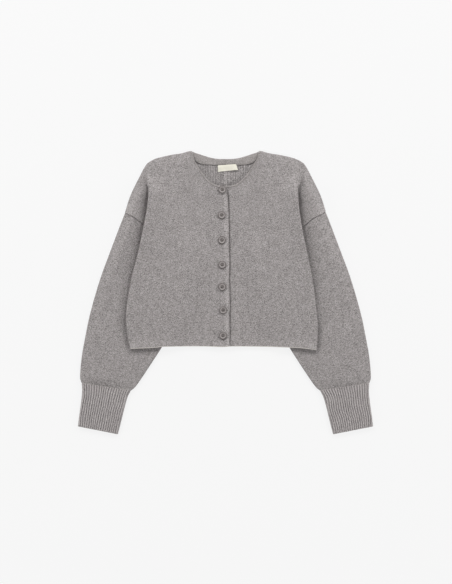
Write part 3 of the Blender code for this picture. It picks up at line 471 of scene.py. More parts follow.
def knitFinish(name, knit):
    # Milled wool of mixed fibres: matt, softly speckled light and dark, the stitches half hidden under a short
    # nap. Wales are 2.6 mm apart and courses 2 mm; the fibre flecks are drawn 3 mm long, coarser than the
    # real ones, so that they show.
    material, tree, shader = newFinish(name, 0.92)
    grain = addNode(tree, "UVMap", {"uv_map": "grain"}, {})
    perStitch = (1 / (knit["wale"] * mm), 1 / (knit["course"] * mm), 0)
    stitches = addNode(tree, "VectorMath", {"operation": "MULTIPLY", 1: perStitch}, {0: grain})
    wobble = addNode(tree, "TexNoise", {"Scale": 0.35, "Detail": 1.0}, {"Vector": stitches})
    sway = {"operation": "MULTIPLY_ADD", 1: (0.6, 0.6, 0.0)}
    wobble = addNode(tree, "VectorMath", sway, {0: (wobble, "Color"), 2: stitches})
    place = addNode(tree, "SeparateXYZ", {}, {0: wobble})
    # each stitch is two slanting strokes with a hollow between the wales
    smooth = {"interpolation_type": "SMOOTHSTEP"}
    legs = addNode(tree, "Math", {"operation": "PINGPONG", 1: 0.5}, {0: (place, "X")})
    hollow = addNode(tree, "MapRange", smooth | {"From Min": 0.0, "From Max": 0.16}, {"Value": legs})
    slant = addNode(tree, "Math", {"operation": "ADD"}, {0: legs, 1: (place, "Y")})
    stroke = addNode(tree, "Math", {"operation": "PINGPONG", 1: 0.5}, {0: slant})
    stroke = addNode(tree, "MapRange", smooth | {"From Min": 0.02, "From Max": 0.3}, {"Value": stroke})
    loops = addNode(tree, "Math", {"operation": "MULTIPLY"}, {0: hollow, 1: stroke})
    nap = addNode(tree, "TexNoise", {"Scale": 1.7, "Detail": 4.0, "Roughness": 0.65}, {"Vector": stitches})
    wale = addNode(tree, "Math", {"operation": "FLOOR"}, {0: (place, "X")})
    course = addNode(tree, "Math", {"operation": "FLOOR"}, {0: slant})
    stitch = addNode(tree, "CombineXYZ", {}, {0: wale, 1: course})
    stitch = addNode(tree, "TexWhiteNoise", {"noise_dimensions": "2D"}, {"Vector": stitch})
    height = addNode(tree, "Mix", {"Factor": knit["nap"]}, {2: loops, 3: nap})
    if knit["ladder"]:  # the reverse: broken ribs every second wale
        ladder = addNode(tree, "Math", {"operation": "PINGPONG", 1: 1.0}, {0: (place, "X")})
        height = addNode(tree, "Mix", {"Factor": 0.6}, {2: height, 3: ladder})
    bump = addNode(tree, "Bump", {"Strength": knit["bump"], "Distance": 0.7 * mm}, {"Height": height})
    # the flecks of light and dark fibre, and broader clouds and streaks of them
    turned = {"Scale": (1 / (1.55 * mm), 1 / (3.0 * mm), 1.0), "Rotation": (0.0, 0.0, 0.06)}
    fibres = addNode(tree, "Mapping", turned, {"Vector": grain})
    mottle = {"Scale": 1.0, "Detail": 3.0, "Roughness": 0.65, "Distortion": 0.25}
    flecks = addNode(tree, "TexNoise", mottle, {"Vector": fibres})
    flecks = addNode(tree, "MapRange", {"From Min": 0.4, "From Max": 0.585}, {"Value": flecks})
    flecks = addNode(tree, "Math", {"operation": "POWER", 1: 0.65}, {0: flecks})
    flecks = addNode(tree, "Mix", {"Factor": knit["marl"]}, {2: flecks, 3: (stitch, "Value")})
    streaks = addNode(tree, "Mapping", {"Scale": (1 / (5.0 * mm), 1 / (60.0 * mm), 1.0)}, {"Vector": grain})
    streaks = addNode(tree, "TexNoise", {"Scale": 1.0, "Detail": 1.0}, {"Vector": streaks})
    cloud = addNode(tree, "TexNoise", {"Scale": 0.14, "Detail": 3.0}, {"Vector": fibres})
    cloud = addNode(tree, "Mix", {"Factor": 0.35}, {2: cloud, 3: streaks})
    cloud = addNode(tree, "MapRange", {"From Min": 0.36, "From Max": 0.64}, {"Value": cloud})
    shades = twoShades(knit["dark"], knit["light"])
    colour = addNode(tree, "Mix", shades, {0: flecks})
    cloud = addNode(tree, "Mix", shades, {0: cloud})
    colour = addNode(tree, "Mix", {"data_type": "RGBA", "Factor": knit["cloud"]}, {6: (colour, 2), 7: (cloud, 2)})
    # painted shade: where the bump's height is low, in the stitches' hollows, the colour is painted darker
    darker = {"data_type": "RGBA", "blend_type": "MULTIPLY", 0: 1.0}
    deep = {"From Min": 0.0, "From Max": 0.6, "To Min": knit["hollow"], "To Max": 1.0}
    hollowShade = addNode(tree, "MapRange", deep, {"Value": height})
    colour = addNode(tree, "Mix", darker, {6: (colour, 2), 7: hollowShade})
    if knit["ribShade"]:  # painted shade and light: the purl side between two ribs lies deep in the cloth, so its shade is painted darker into the colour and the ribs are painted lighter; the same paints light on the fronts' edge band and hem
        ribs = addNode(tree, "Attribute", {"attribute_name": "ribs"}, {})
        ribPaintSpan = {"To Min": knit["ribShade"], "To Max": knit["ribLight"]}
        ribs = addNode(tree, "MapRange", ribPaintSpan, {"Value": (ribs, "Fac")})
        colour = addNode(tree, "Mix", darker, {6: (colour, 2), 7: ribs})
    matt = {"Sheen Weight": knit["sheen"], "Sheen Roughness": 0.6, "Specular IOR Level": 0.15}
    setNode(tree, shader, matt, {"Base Color": (colour, 2), "Normal": bump})
    return material


# hollow is how dark the painted shade in the stitches' hollows goes; ribShade and ribLight are the painted shade and
# painted light that the ribs attribute gives
faceKnit = {"wale": 2.6, "course": 2.0, "nap": 0.35, "marl": 0.38, "ladder": False, "bump": 0.5, "dark": "#443f3e",
            "light": "#b2adac", "cloud": 0.13, "hollow": 0.86, "sheen": 0.12, "ribShade": 0.0, "ribLight": 1.0}
# painted light: the fronts' edge band and hem are drawn lighter through the ribs attribute
paintedLightEdge = {"ribShade": 1.0, "ribLight": 1.2}
linked = {"dark": "#7a7572", "light": "#b3aeab", "bump": 0.2}
# painted highlight: the cast-off row along the hem is drawn lighter than the wool
castOffHighlight = {"dark": "#8f8a86", "light": "#cdc8c1", "bump": 0.2}
reverse = {"ladder": True, "hollow": 0.75, "bump": 0.7}
reverseRibs = {"ladder": True, "hollow": 0.8, "ribShade": 0.66, "ribLight": 1.26}
ribKnit = {"wale": 2.7, "nap": 0.3, "marl": 0.25, "bump": 0.12, "hollow": 0.94, "dark": "#757070", "light": "#a39e9d",
           "ribShade": 0.44, "ribLight": 1.28}
bandKnit = {"wale": 1.9, "course": 1.6, "nap": 0.6, "dark": "#635e5c", "light": "#a39e9c", "hollow": 0.92}
wool = knitFinish("milledMelangeWool", faceKnit)
frontWool = knitFinish("milledWoolPaintedLightEdge", faceKnit | paintedLightEdge)
seamWool = knitFinish("linkedSeamWool", faceKnit | linked)
castOffHighlightWool = knitFinish("castOffHighlightWool", faceKnit | castOffHighlight)
woolInside = knitFinish("milledWoolReverse", faceKnit | reverse)
neckInside = knitFinish("milledWoolReverseRibs", faceKnit | reverseRibs)
ribWool = knitFinish("ribKnitWool", faceKnit | ribKnit)
bandWool = knitFinish("doubledBandWool", faceKnit | bandKnit)


def buttonFinish(name, dark, light):
    # Polished corozo, turned from a nut: a soft gloss over fine darker streaks
    material, tree, shader = newFinish(name, 0.44)
    place = addNode(tree, "TexCoord", {}, {})
    stretched = {"Scale": (260.0, 700.0, 260.0), "Rotation": (0.0, 0.0, 0.6)}
    streaks = addNode(tree, "Mapping", stretched, {"Vector": (place, "Object")})
    streaks = addNode(tree, "TexNoise", {"Scale": 1.0, "Detail": 4.0, "Distortion": 1.2}, {"Vector": streaks})
    streaks = addNode(tree, "MapRange", {"From Min": 0.3, "From Max": 0.7}, {"Value": streaks})
    colour = addNode(tree, "Mix", twoShades(dark, light), {0: streaks})
    setNode(tree, shader, {"IOR": 1.54}, {"Base Color": (colour, 2)})
    return material


def tapeFinish(name):
    # Satin-woven cotton tape: cream, with threads 0.6 mm apart, drawn at 1.2 mm so that they show
    material, tree, shader = newFinish(name, 0.7)
    grain = addNode(tree, "UVMap", {"uv_map": "grain"}, {})
    woven = {"Scale": 1 / (1.2 * mm) / 3.2, "Distortion": 1.5, "Detail": 1.0, "bands_direction": "Y"}
    threads = addNode(tree, "TexWave", woven, {"Vector": grain})
    bump = addNode(tree, "Bump", {"Strength": 0.35, "Distance": 0.2 * mm}, {"Height": threads})
    colour = addNode(tree, "Mix", twoShades("#cbc7b7", "#dfdcd1"), {0: threads})
    setNode(tree, shader, {"Sheen Weight": 0.1}, {"Base Color": (colour, 2), "Normal": bump})
    return material


def threadFinish(name, colour):
    # Spun sewing thread: matt, its two plies as fine slanting lines
    material, tree, shader = newFinish(name, 0.8)
    place = addNode(tree, "TexCoord", {}, {})
    twist = {"Scale": 500.0, "Distortion": 1.0, "bands_direction": "DIAGONAL"}
    plies = addNode(tree, "TexWave", twist, {"Vector": (place, "Object")})
    shades = addNode(tree, "Mix", twoShades(colour, "#9a9593"), {0: plies})
    setNode(tree, shader, {}, {"Base Color": (shades, 2)})
    return material


corozo = buttonFinish("polishedCorozo", "#777170", "#9a9492")
corozoShade = buttonFinish("corozoPaintedShade", "#534d4b", "#6a6462")  # painted shade: a darker corozo on the rim and in the well, where the button's edge and its well lie in shade
tape = tapeFinish("satinTape")
thread = threadFinish("spunThread", "#6b6563")
print("finishes made")


def roundWall(distance):
    # a self edge: fully round
    near = 1 - np.minimum(distance / (cloth["wall"] / 2), 1.0)
    return cloth["wall"] * np.maximum(np.sqrt(np.maximum(1 - near**2, 0.0)), 0.16)


def deselectAll():
    for obj in bpy.context.selected_objects:
        obj.select_set(False)


def joinInto(obj, others):
    deselectAll()
    for other in [*others, obj]:
        other.select_set(True)
    bpy.context.view_layer.objects.active = obj
    bpy.ops.object.join()


# Fronts


def levelsAt(bodyY):
    # how far a row has come from the shoulder to the armhole's line, and from there to the hem
    yoke = min((cloth["topRow"] - bodyY) / (cloth["topRow"] - cloth["armRow"]), 1.0)
    return yoke, max((cloth["armRow"] - bodyY) / (cloth["armRow"] - cloth["hemRow"]), 0.0)


def flapSection(side, bodyY, start, endOut, endY, slope, count):
    # from under the fold out to the shoulder's edge, as (out, y, z)
    share = np.linspace(0, 1, count + 1)[1:] ** 0.8
    out = mix(start[0], endOut, share)
    y = endY + slope * (out - endOut)
    distance = distanceTo(shoulderLine, out, y)
    puff = ramp((out - bodyEdge(side, y) + 14) / 20) * np.sin(np.pi / 2 * np.minimum(distance / 70, 1))
    ripple = 0.35 * lumps(side * out, y, 30.0, 5.0) * between(3.0, 18.0, distance)
    swell = crown(side, out, y) * ramp(distance / cloth["seamInset"])
    lip = 0.5 * hump((bodyY - cloth["armRow"]) / 3.5)
    level = cloth["flat"] - cloth["wall"] / 2 + cloth["shoulderPuff"] * puff + ripple + swell + lip - edgeDrop(distance)
    return np.column_stack([*bowed(side, out, y), mix(start[1], level, ramp(share / 0.35))])


def frontRow(side, bodyY, shares, counts, ends):
    inYoke = bodyY >= cloth["armRow"]
    yoke, skirt = levelsAt(bodyY)
    topOut = mix(ownEdge(side, cloth["neckTop"]), ends[0], shares)
    onNeck = np.abs(topOut) < cloth["neckOut"]
    top = np.where(onNeck, np.interp(np.abs(topOut), *neckSeams[side].T), shoulderY(topOut))
    arm = armholeY(mix(ownEdge(side, 80.0), ends[1], shares))
    hem = hemAt(side * mix(ownEdge(side, cloth["hemRow"]), bodyEdge(side, cloth["hemRow"]), shares))
    y = mix(mix(top, arm, yoke), hem, skirt)
    section = fold = foldSection(side, max(bodyY, cloth["armRow"]), counts)
    if not inYoke:
        seam = sideSection(side, bodyY, counts[0])
        shift = np.array([bodyEdge(side, bodyY) - bodyEdge(side, cloth["armRow"]), seam[0, 1] - fold[0, 1]])
        section = mix(fold[:counts[0]] + shift, seam, ramp((cloth["armRow"] - bodyY) / 30.0))
    out = mix(ownEdge(side, y), section[0, 0], shares)
    z = mix(frontMiddle(side, out, y), section[0, 1], between(0.97, 1.0, shares))
    main = np.column_stack([out, y, z])[:-1]
    slope = 0.0
    if inYoke:
        endOut, endY = flapEdge(bodyY)
        slope = (endY - y[-1]) / (endOut - section[0, 0])
    turned = np.column_stack([section[:, 0], y[-1] + slope * (section[:, 0] - section[0, 0]), section[:, 1]])
    flap = np.tile(turned[-1], (counts[3], 1))
    if inYoke:
        flap = flapSection(side, bodyY, section[-1], endOut, endY, slope, counts[3])
    rest = np.tile(turned[-1], (sum(counts[:3]) - len(turned), 1))
    return np.vstack([main, turned, rest, flap])


def makeFront(name, side):
    counts = (15, 14, 9, 40)  # points over the fold, back under it, round its inner end, and out to the shoulder
    ends = [foldSection(side, cloth[row], counts)[0, 0] for row in ("topRow", "armRow")]
    width = ends[0] - ownEdge(side, cloth["neckTop"])
    shares = np.append(spaced(0.0, width, 2.3, both=False), width) / width
    shares = np.unique(np.round(shares, 5))
    yokeRows = spaced(cloth["topRow"], cloth["armRow"], 1.9)
    skirtRows = spaced(cloth["armRow"], cloth["hemRow"], 2.6, fine=(0.0, 0.4, 1.0, 1.9, 3.0))[1:]
    rows = np.concatenate([yokeRows, skirtRows])
    grid = np.stack([frontRow(side, float(y), shares, counts, ends) for y in rows])
    lastYoke, folded = len(yokeRows) - 1, len(shares) - 1 + counts[0]
    used = np.ones((len(rows) - 1, grid.shape[1] - 1), bool)
    used[lastYoke:, folded - 1:] = False
    # distances from the free edges, for the wall
    fromTop, fromOwn = travelled(grid), travelled(grid.swapaxes(0, 1)).T
    fromHem = fromTop[-1] - fromTop
    fromHem[:lastYoke + 1, folded:] = np.abs(fromTop - fromTop[lastYoke])[:lastYoke + 1, folded:]
    distance = np.minimum(np.minimum(fromTop, fromHem), fromOwn)
    flap = grid[:, -counts[3]:]
    fromShoulder = distanceTo(shoulderLine, flap[:, :, 0], flap[:, :, 1])
    distance[:, -counts[3]:] = np.minimum(distance[:, -counts[3]:], fromShoulder)
    # painted light: the hem and the edge band of the right front are painted a little lighter, for the light that they
    # catch
    paintedLight = 0.45 * between(26.0, 12.0, fromHem)
    if side == right:
        paintedLight = np.maximum(paintedLight, between(2.0, 4.0, fromOwn) * between(13.5, 10.0, fromOwn))
    uv = np.dstack([fromOwn, grid[:, :, 1]])
    finishes = [frontWool, woolInside]
    return clothShell(name, grid * [side, 1, 1], uv, edgeWall(distance), finishes, used, flip=side == left, ribs=paintedLight)


for word, side in bothSides.items():
    piece = makeFront(word + "FrontCloth", side)
    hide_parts(word + "_front")
print("fronts cut and folded")

# Back: the panel inside the fronts, and the two dropped shoulders on the surface

backRows = {"fine": 240.0, "rootTop": 156.0, "rootArm": 120.0, "ribHeight": 0.9, "ribPitch": 6.4, "neckEnd": 84.5,
            "grainShift": [3000.0, 0.0]}


def backNeckTop(out):
    gap = 0.12 + 0.6 * between(65.0, 75.0, out)
    seam = curveAt(lines["backNeck"], 2, np.minimum(out, backRows["neckEnd"])) - gap
    return np.where(out > backRows["neckEnd"], shoulderY(out), seam)


def rootOut(y):
    return mix(backRows["rootTop"], backRows["rootArm"], between(280.0, 190.0, y))


def backEdge(side, y):
    room = 1.4 * between(130.0, 170.0, y) + 24.0 * between(226.0, 260.0, y)
    hidden = bodyEdge(side, y) - cloth["wall"] - 0.5 - room
    return mix(rootOut(y) - 0.2, hidden, between(276.0, 258.0, y))


def hemSlip(x):
    # the back's hem shows a little below the front's at the wearer's left corner
    return 4.6 * between(196.0, 214.0, x)


def makeBack():
    root, armRow, hemRow = backRows["rootTop"], cloth["armRow"], cloth["hemRow"]
    half = np.concatenate([np.arange(0, 88, 1.3), spaced(88.4, root, 3.0, fine=(0.0, 1.5), both=False)])
    half[-1] = root
    onSide = np.array([right] * (len(half) - 1) + [left] * len(half))
    tops = np.concatenate([half[:0:-1], half])

    def bySide(value, *at):
        return np.where(onSide == right, value(right, *at), value(left, *at))

    # the rows are close together where they show, at the neck and at the hem
    yokeRows = [*spaced(cloth["topRow"], backRows["fine"], 1.7, both=False), *np.arange(236.0, armRow, -4.0), armRow]
    hemRows = [*spaced(-135.5, hemRow, 1.5, fine=(0.0,), both=False), hemRow]
    points = []
    for bodyY in np.unique([*yokeRows, *np.arange(167.0, -134.0, -4.4), *hemRows])[::-1]:
        yoke, skirt = levelsAt(bodyY)
        lowOut = tops / root * bySide(backEdge, bodyY)
        out = mix(tops, lowOut, between(cloth["topRow"], 262.0, bodyY))
        y = mix(backNeckTop(tops), armholeY(tops / root * bySide(backEdge, armRow)), yoke)
        y = mix(y, hemAt(onSide * lowOut) + 0.8 - hemSlip(onSide * lowOut), skirt)
        z = bySide(liftAt, out, y) + cloth["wall"] / 2 + edgeDrop(distanceTo(shoulderLine, out, y)) * 0.5
        points.append(np.column_stack([onSide * out, y, z]))
    grid = np.stack(points)
    x, y = grid[:, :, 0], grid[:, :, 1]
    # the ribs of the reverse, broken here and there, with one taller wale down the centre
    ribs = np.abs(np.sin(np.pi * (x + 0.6 * lumps(x, y, 26.0, 2.0)) / backRows["ribPitch"]))
    broken = 0.58 + 0.38 * lumps(x * 1.7, y * 0.8, 9.0, 14.0)
    # shown also paints the colour: painted shade between the ribs, painted light on them and on the centre wale
    shown = np.clip(ribs * broken + 0.7 * hump((x - 0.6) / 1.4), 0, 1.3)
    raised = backRows["ribHeight"] * shown * between(236.0, 262.0, y)
    away = np.minimum(distanceTo(shoulderLine, np.abs(x), y), np.abs(y - grid[-1:, :, 1]))
    wall = roundWall(np.minimum(away, travelled(grid)))
    uv, finishes = np.dstack([x, y]) + backRows["grainShift"], [neckInside, wool]
    return clothShell("backCloth", grid, uv, wall, finishes, flip=True, raised=raised, ribs=shown)


def makeDroppedShoulder(side):
    shares = spaced(0.0, 100.0, 3.2) / 100.0
    rootY = float(shoulderY(backRows["rootTop"])), float(armholeY(backRows["rootArm"]))
    points = []
    for bodyY in spaced(cloth["topRow"], cloth["armRow"], 3.0):
        endOut, endY = flapEdge(bodyY)
        down = levelsAt(bodyY)[0]
        startOut = rootOut(mix(cloth["topRow"], cloth["armRow"], down))
        out, y = mix(startOut, endOut, shares), mix(mix(*rootY, down), endY, shares)
        if down == 0:
            y = shoulderY(out)
        z = cloth["wall"] / 2 + 0.5 * edgeDrop(distanceTo(shoulderLine, out, y))
        out, y = bowed(side, out, y)
        points.append(np.column_stack([side * out, y, z]))
    grid = np.stack(points)
    fromTop = travelled(grid)
    away = distanceTo(shoulderLine, np.abs(grid[:, :, 0]), grid[:, :, 1])
    wall = roundWall(np.minimum(away, np.minimum(fromTop, fromTop[-1] - fromTop)))
    uv = grid[:, :, :2] + backRows["grainShift"]
    return clothShell("droppedShoulder", grid, uv, wall, [woolInside, wool], flip=side == left)


back = makeBack()
joinInto(back, [makeDroppedShoulder(side) for side in bothSides.values()])
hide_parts("back")
print("back knitted and its shoulders dropped")

# Sleeves and cuffs: flattened tubes

# x, y to x, y, width and height, on the outer half of each sleeve
sleeveCreases = {
    right: [(-262.0, 180.0, -214.0, 168.0, 5.0, -0.9), (-284.0, 119.0, -252.0, 113.0, 4.0, -0.8),
            (-322.0, -8.0, -286.0, -14.0, 5.0, -0.7), (-300.0, 60.0, -262.0, -40.0, 13.0, 0.9),
            (-338.0, -60.0, -300.0, -170.0, 14.0, 1.0), (-276.0, 140.0, -262.0, 60.0, 12.0, 0.7),
            (-262.0, -140.0, -300.0, -215.0, 12.0, -0.9), (-330.0, -120.0, -342.0, -205.0, 9.0, -0.8),
            (-234.0, -178.0, -262.0, -232.0, 8.0, 0.9)],
    left: [(268.0, 150.0, 236.0, 132.0, 5.0, -0.8), (302.0, 62.0, 272.0, 52.0, 5.0, -0.7),
           (330.0, -40.0, 300.0, -52.0, 5.0, -0.6), (290.0, 90.0, 262.0, -30.0, 13.0, 0.9),
           (344.0, -70.0, 308.0, -176.0, 14.0, 0.9), (258.0, 160.0, 250.0, 80.0, 12.0, 0.7),
           (266.0, -138.0, 306.0, -210.0, 12.0, -0.8), (336.0, -112.0, 346.0, -200.0, 9.0, -0.7),
           (236.0, -176.0, 260.0, -230.0, 8.0, 0.8)],
}  # fmt: skip


def tubeRings(table, step, fine):
    table = np.array(table, float)
    along = travelled((table[:, :2] + table[:, 2:4]) / 2)
    at = spaced(0.0, along[-1], step, fine=fine)
    keyed = np.column_stack([along, table])
    return at, np.column_stack([curveAt(keyed, c, at) for c in range(1, 6)])


def makeTube(name, side, table, tube, reliefAt, finishes):
    # each ring lies flat: its upper layer, a round side, its lower layer and the other side
    at, rings = tubeRings(table, tube["step"], tube["fine"])
    low, top = cloth["wall"] / 2, tube["top"] - cloth["wall"] / 2
    bend = (top - low) / 2  # radius of the middle of the wall round the tube's sides
    inset = bend + low
    share, lowShare = np.linspace(0, 1, tube["columns"]), np.linspace(1, 0, tube["lowColumns"])
    turn = np.radians(np.linspace(90, -90, tube["turn"])[1:-1])
    across, up = bend * np.cos(turn), inset + bend * np.sin(turn)
    points, grains, reliefs, ribs = [], [], [], []
    for along, (outerX, outerY, innerX, innerY, puff) in zip(at, rings):
        width = math.hypot(outerX - innerX, outerY - innerY)
        upper = np.column_stack([mix(inset, width - inset, share), top + puff * np.sin(np.pi * share)])
        lower = np.column_stack([mix(inset, width - inset, lowShare), np.full(len(lowShare), low)])
        innerTurn = np.column_stack([width - inset + across, up])
        outerTurn = np.column_stack([inset - across, up])[::-1]
        loop = np.vstack([upper, innerTurn, lower, outerTurn])
        part = loop[:, 0] / width
        out, y = mix(outerX, innerX, part), mix(outerY, innerY, part)
        bowedOut, bowedY = bowed(side, out, y)
        points.append(np.column_stack([side * bowedOut, bowedY, loop[:, 1]]))
        girth = travelled(loop) - width / 2 + side * tube["grainShift"]
        grains.append(np.column_stack([girth, np.full(len(girth), along)]))
        relief, shown = reliefAt(side, side * out, y, part, along, at[-1] - along, width)
        reliefs.append(relief)
        ribs.append(shown)
    grid = np.stack(points)
    wall = edgeWall(np.minimum(at, at[-1] - at)[:, None] + np.zeros(grid.shape[1]))
    return clothShell(name, grid, np.stack(grains), wall, finishes, closed=True, flip=side == right,
                      raised=np.stack(reliefs), ribs=np.stack(ribs))


def sleeveRelief(side, x, y, part, along, fromCuff, width):
    # the upper layer: creases, unevenness, and small gathers where the sleeve is eased into the cuff
    relief = creases(sleeveCreases[side], x, y) + 0.6 * lumps(x, y, 70.0, 21.0) + 0.25 * lumps(x, y, 26.0, 4.0)
    relief = relief * ramp((fromCuff - 4.0) / 20.0) * ramp(along / 12.0)
    relief = relief + crown(side, np.abs(x), y) * ramp(fromCuff / 30.0 + 0.25)
    eased = 0.75 * ramp(1 - fromCuff / 26.0) * ramp(fromCuff / 3.0 + 0.3)
    relief = relief + eased * np.sin(2 * np.pi * part * width / 11.5 + 2.4 * lumps(x, y, 30.0, 6.0))
    relief = np.minimum(relief * ramp(np.minimum(part, 1 - part) * width / 30.0), sleeveTube["most"])
    # it drops into the armhole seam, and its seam allowance makes a low ridge beside it
    relief = relief - 1.1 * hump(along / 1.5) + 0.5 * hump((along - 3.4) / 1.6)
    relief[sleeveTube["columns"]:] = 0.0
    return relief, np.full(len(part), 1.0)


def cuffRelief(side, x, y, part, along, fromEnd, width):
    # one rib is a round ridge with a narrow hollow beside it, and runs on to the cuff's end
    relief, shown = np.zeros(len(part)), np.full(len(part), 0.8)
    upper = slice(cuffTube["columns"])
    x, y, part = x[upper], y[upper], part[upper]
    drift = 0.3 * noise.noise(Vector((0.5 + side, along / 30.0, 3.0))) + 0.18 * lumps(x, y, 26.0, 9.0)
    ridge = np.abs(np.sin(np.pi * (part * cuffTube["ribs"] + drift))) ** 0.75
    edges = ramp(np.minimum(part, 1 - part) * width / 3.0)
    relief[upper] = cuffTube["ribHeight"] * (ridge * (1.0 + 0.15 * lumps(x, y, 16.0, 5.0)) - 0.4) * edges
    # shown paints the cuff's colour: painted shade in the hollows between ribs, painted light on their ridges
    shown[upper] = mix(0.8, ridge, edges)
    return relief, shown


sleeveTube = {"top": 6.2, "columns": 84, "lowColumns": 34, "turn": 11, "step": 2.6, "fine": (0.0, 0.4, 1.0, 1.8, 2.8),
              "most": 13.5, "grainShift": 1000.0}
cuffTube = sleeveTube | {"top": 6.8, "columns": 190, "lowColumns": 30, "step": 3.2, "fine": (0.0, 0.3, 0.9, 1.7, 2.8),
                         "ribs": 19.5, "ribHeight": 2.2}
for word, side in bothSides.items():
    sleeve = makeTube(word + "SleeveCloth", side, lines["sleeve"], sleeveTube, sleeveRelief, [wool, woolInside])
    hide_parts(word + "_sleeve")
    cuff = makeTube(word + "RibCuff", side, lines["cuff"], cuffTube, cuffRelief, [ribWool, woolInside])
    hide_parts(word + "_cuff")
print("sleeves and cuffs knitted")

# Neck: the rolled edge, the doubled band and the label

roll = {"width": 5.4, "height": 3.5, "raised": 0.45, "sides": 14}


def finished(name, shape, finishes):
    mesh = bpy.data.meshes.new(name)
    shape.to_mesh(mesh)
    shape.free()
    for finish in finishes:
        mesh.materials.append(finish)
    mesh.shade_smooth()
    return placed(name, mesh)


def sweptSolid(name, path, sections, finish):
    # a closed strip: sections of (across, z) along a path of (x, y)
    path, sections = np.asarray(path, float), np.asarray(sections, float)
    flatPoints = path[:, None, :] + sidewaysOf(path)[:, None, :] * sections[:, :, :1]
    points = np.concatenate([flatPoints, sections[:, :, 1:]], axis=2)
    rows, count = points.shape[:2]
    along = travelled(path)
    girth = travelled(np.concatenate([sections, sections[:, :1]], axis=1).swapaxes(0, 1))
    shape = bmesh.new()
    layer = shape.loops.layers.uv.new("grain")
    verts = [[shape.verts.new(Vector((p[0], p[1] - middleY, p[2])) * mm) for p in row] for row in points]
    for i in range(rows - 1):
        for k in range(count):
            j = (k + 1) % count
            face = shape.faces.new([verts[i][k], verts[i][j], verts[i + 1][j], verts[i + 1][k]])
            for loop, (u, v) in zip(face.loops, ((k, i), (k + 1, i), (k + 1, i + 1), (k, i + 1))):
                loop[layer].uv = (along[v] * mm, girth[u][v] * mm)
    shape.faces.new(verts[0])
    shape.faces.new(verts[-1])
    bmesh.ops.recalc_face_normals(shape, faces=shape.faces)
    return finished(name, shape, [finish])


def tubeInto(shape, path, radii, sides):
    rings = []
    for i, here in enumerate(path):
        a, b = Vector(path[max(i - 1, 0)]), Vector(path[min(i + 1, len(path) - 1)])
        frameTurn = (b - a).normalized().to_track_quat("Z", "X")
        ring = []
        for k in range(sides):
            angle = math.tau * k / sides
            local = Vector((radii[i] * math.cos(angle), radii[i] * math.sin(angle), 0))
            ring.append(shape.verts.new((Vector(here) + frameTurn @ local) * mm))
        rings.append(ring)
    for one, two in zip(rings, rings[1:]):
        for k in range(sides):
            shape.faces.new([one[k], one[(k + 1) % sides], two[(k + 1) % sides], two[k]])
    shape.faces.new(rings[0][::-1])
    shape.faces.new(rings[-1])


def makeNeckRoll(name, side):
    middle = necklineOf(side, roll["width"] / 2 + 0.1, 12)
    middle = middle[middle[:, 0] >= ownEdge(side, cloth["neckTop"]) + 0.3]
    turns = np.linspace(0, 2 * np.pi, roll["sides"], endpoint=False)
    sections = []
    for i, (out, y) in enumerate(middle):
        centre = float(frontMiddle(side, out, y)) + roll["raised"]
        size = [0.35, 0.75, 0.95, 1.0][min(i, len(middle) - 1 - i, 3)]  # its ends are rounded off
        radius = size * (1 + 0.05 * math.sin(i * 1.9)) / 2
        across, up = roll["width"] * radius * np.cos(turns), roll["height"] * radius * np.sin(turns)
        sections.append(np.column_stack([across, centre + up]))
    return sweptSolid(name, middle * [side, 1], sections, bandWool)


for word, side in bothSides.items():
    edge = makeNeckRoll(word + "NeckRoll", side)
    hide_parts(word + "_neck_edge")


def makeNeckBand():
    # doubled: its folded edge is the neck, its two layers are sewn to the back at the seam
    xs = np.linspace(-backRows["neckEnd"], backRows["neckEnd"], 141)
    # share of the way from the seam to the edge, and the lower and upper side there
    table = [(-0.04, 3.1, 3.9), (-0.02, 2.8, 4.6), (0.03, 1.6, 5.1), (0.1, 0.3, 5.3), (0.3, 0, 5.3), (0.5, 0, 5.1),
             (0.7, 0.1, 4.8), (0.85, 0.3, 4.4), (0.93, 0.6, 3.9), (0.98, 1.0, 3.4), (1, 1.5, 2.8)]
    edges, seams = (curveAt(lines["backNeck"], column, np.abs(xs)) for column in (1, 2))
    sections = []
    for edge, seam, x in zip(edges, seams, xs):
        soft = 0.25 * noise.noise(Vector((x / 14.0, 0.3, 5.0)))
        thin = mix(0.66, 1.0, between(8.0, 42.0, abs(x)))  # it lies lower on the back in the middle
        upper = [(share, high * mix(thin, 1.0, max(share, 0.0)) + soft * share) for share, _, high in table]
        lower = [(share, low) for share, low, _ in table[::-1]]
        sections.append([(-mix(seam, edge, share), z) for share, z in upper + lower])
    return sweptSolid("backNeckBand", np.column_stack([xs, 0 * xs]), sections, bandWool)


band = makeNeckBand()
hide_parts("back_neckband")


def makeLabel():
    # its top edge lies over the band's seam, and the lower edge stands off the back
    topLeft, topRight = np.array((-19.4, 322.4)), np.array((26.8, 325.8))
    lowLeft, lowRight = np.array((-19.1, 305.6)), np.array((31.9, 310.6))
    u, v = np.meshgrid(np.linspace(0, 1, 44), np.linspace(0, 1, 18))
    flat = mix(mix(lowLeft, lowRight, u[..., None]), mix(topLeft, topRight, u[..., None]), v[..., None])
    flat[..., 1] += 0.5 * np.sin(np.pi * u) * (1 - v)
    low = 3.7 + 1.9 * ramp((u - 0.35) / 0.6) + 0.5 * np.sin(u * 8.0) ** 2
    z = mix(low, 5.8, ramp(v * 1.15)) + 0.3 * np.sin(u * 9.0 + 2 * v)
    wall = np.full(u.shape, 0.6)
    return clothShell("neckLabel", np.dstack([flat, z]), np.dstack([u * 48.0, v * 17.0]), wall, [tape])


label = makeLabel()
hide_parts("neck_label")
print("neck finished")

# Seams: a linked row of chain stitches lies along each join

seam = {"radius": 0.95, "cuffRadius": 0.8, "hemRadius": 1.15, "pitch": 2.6, "sides": 8}


def swelling(at, radius, pitch, least):
    # the radius along a row of stitches: it swells at each of them
    return radius * (least + (1 - least) * np.abs(np.sin(np.pi * at / pitch)))


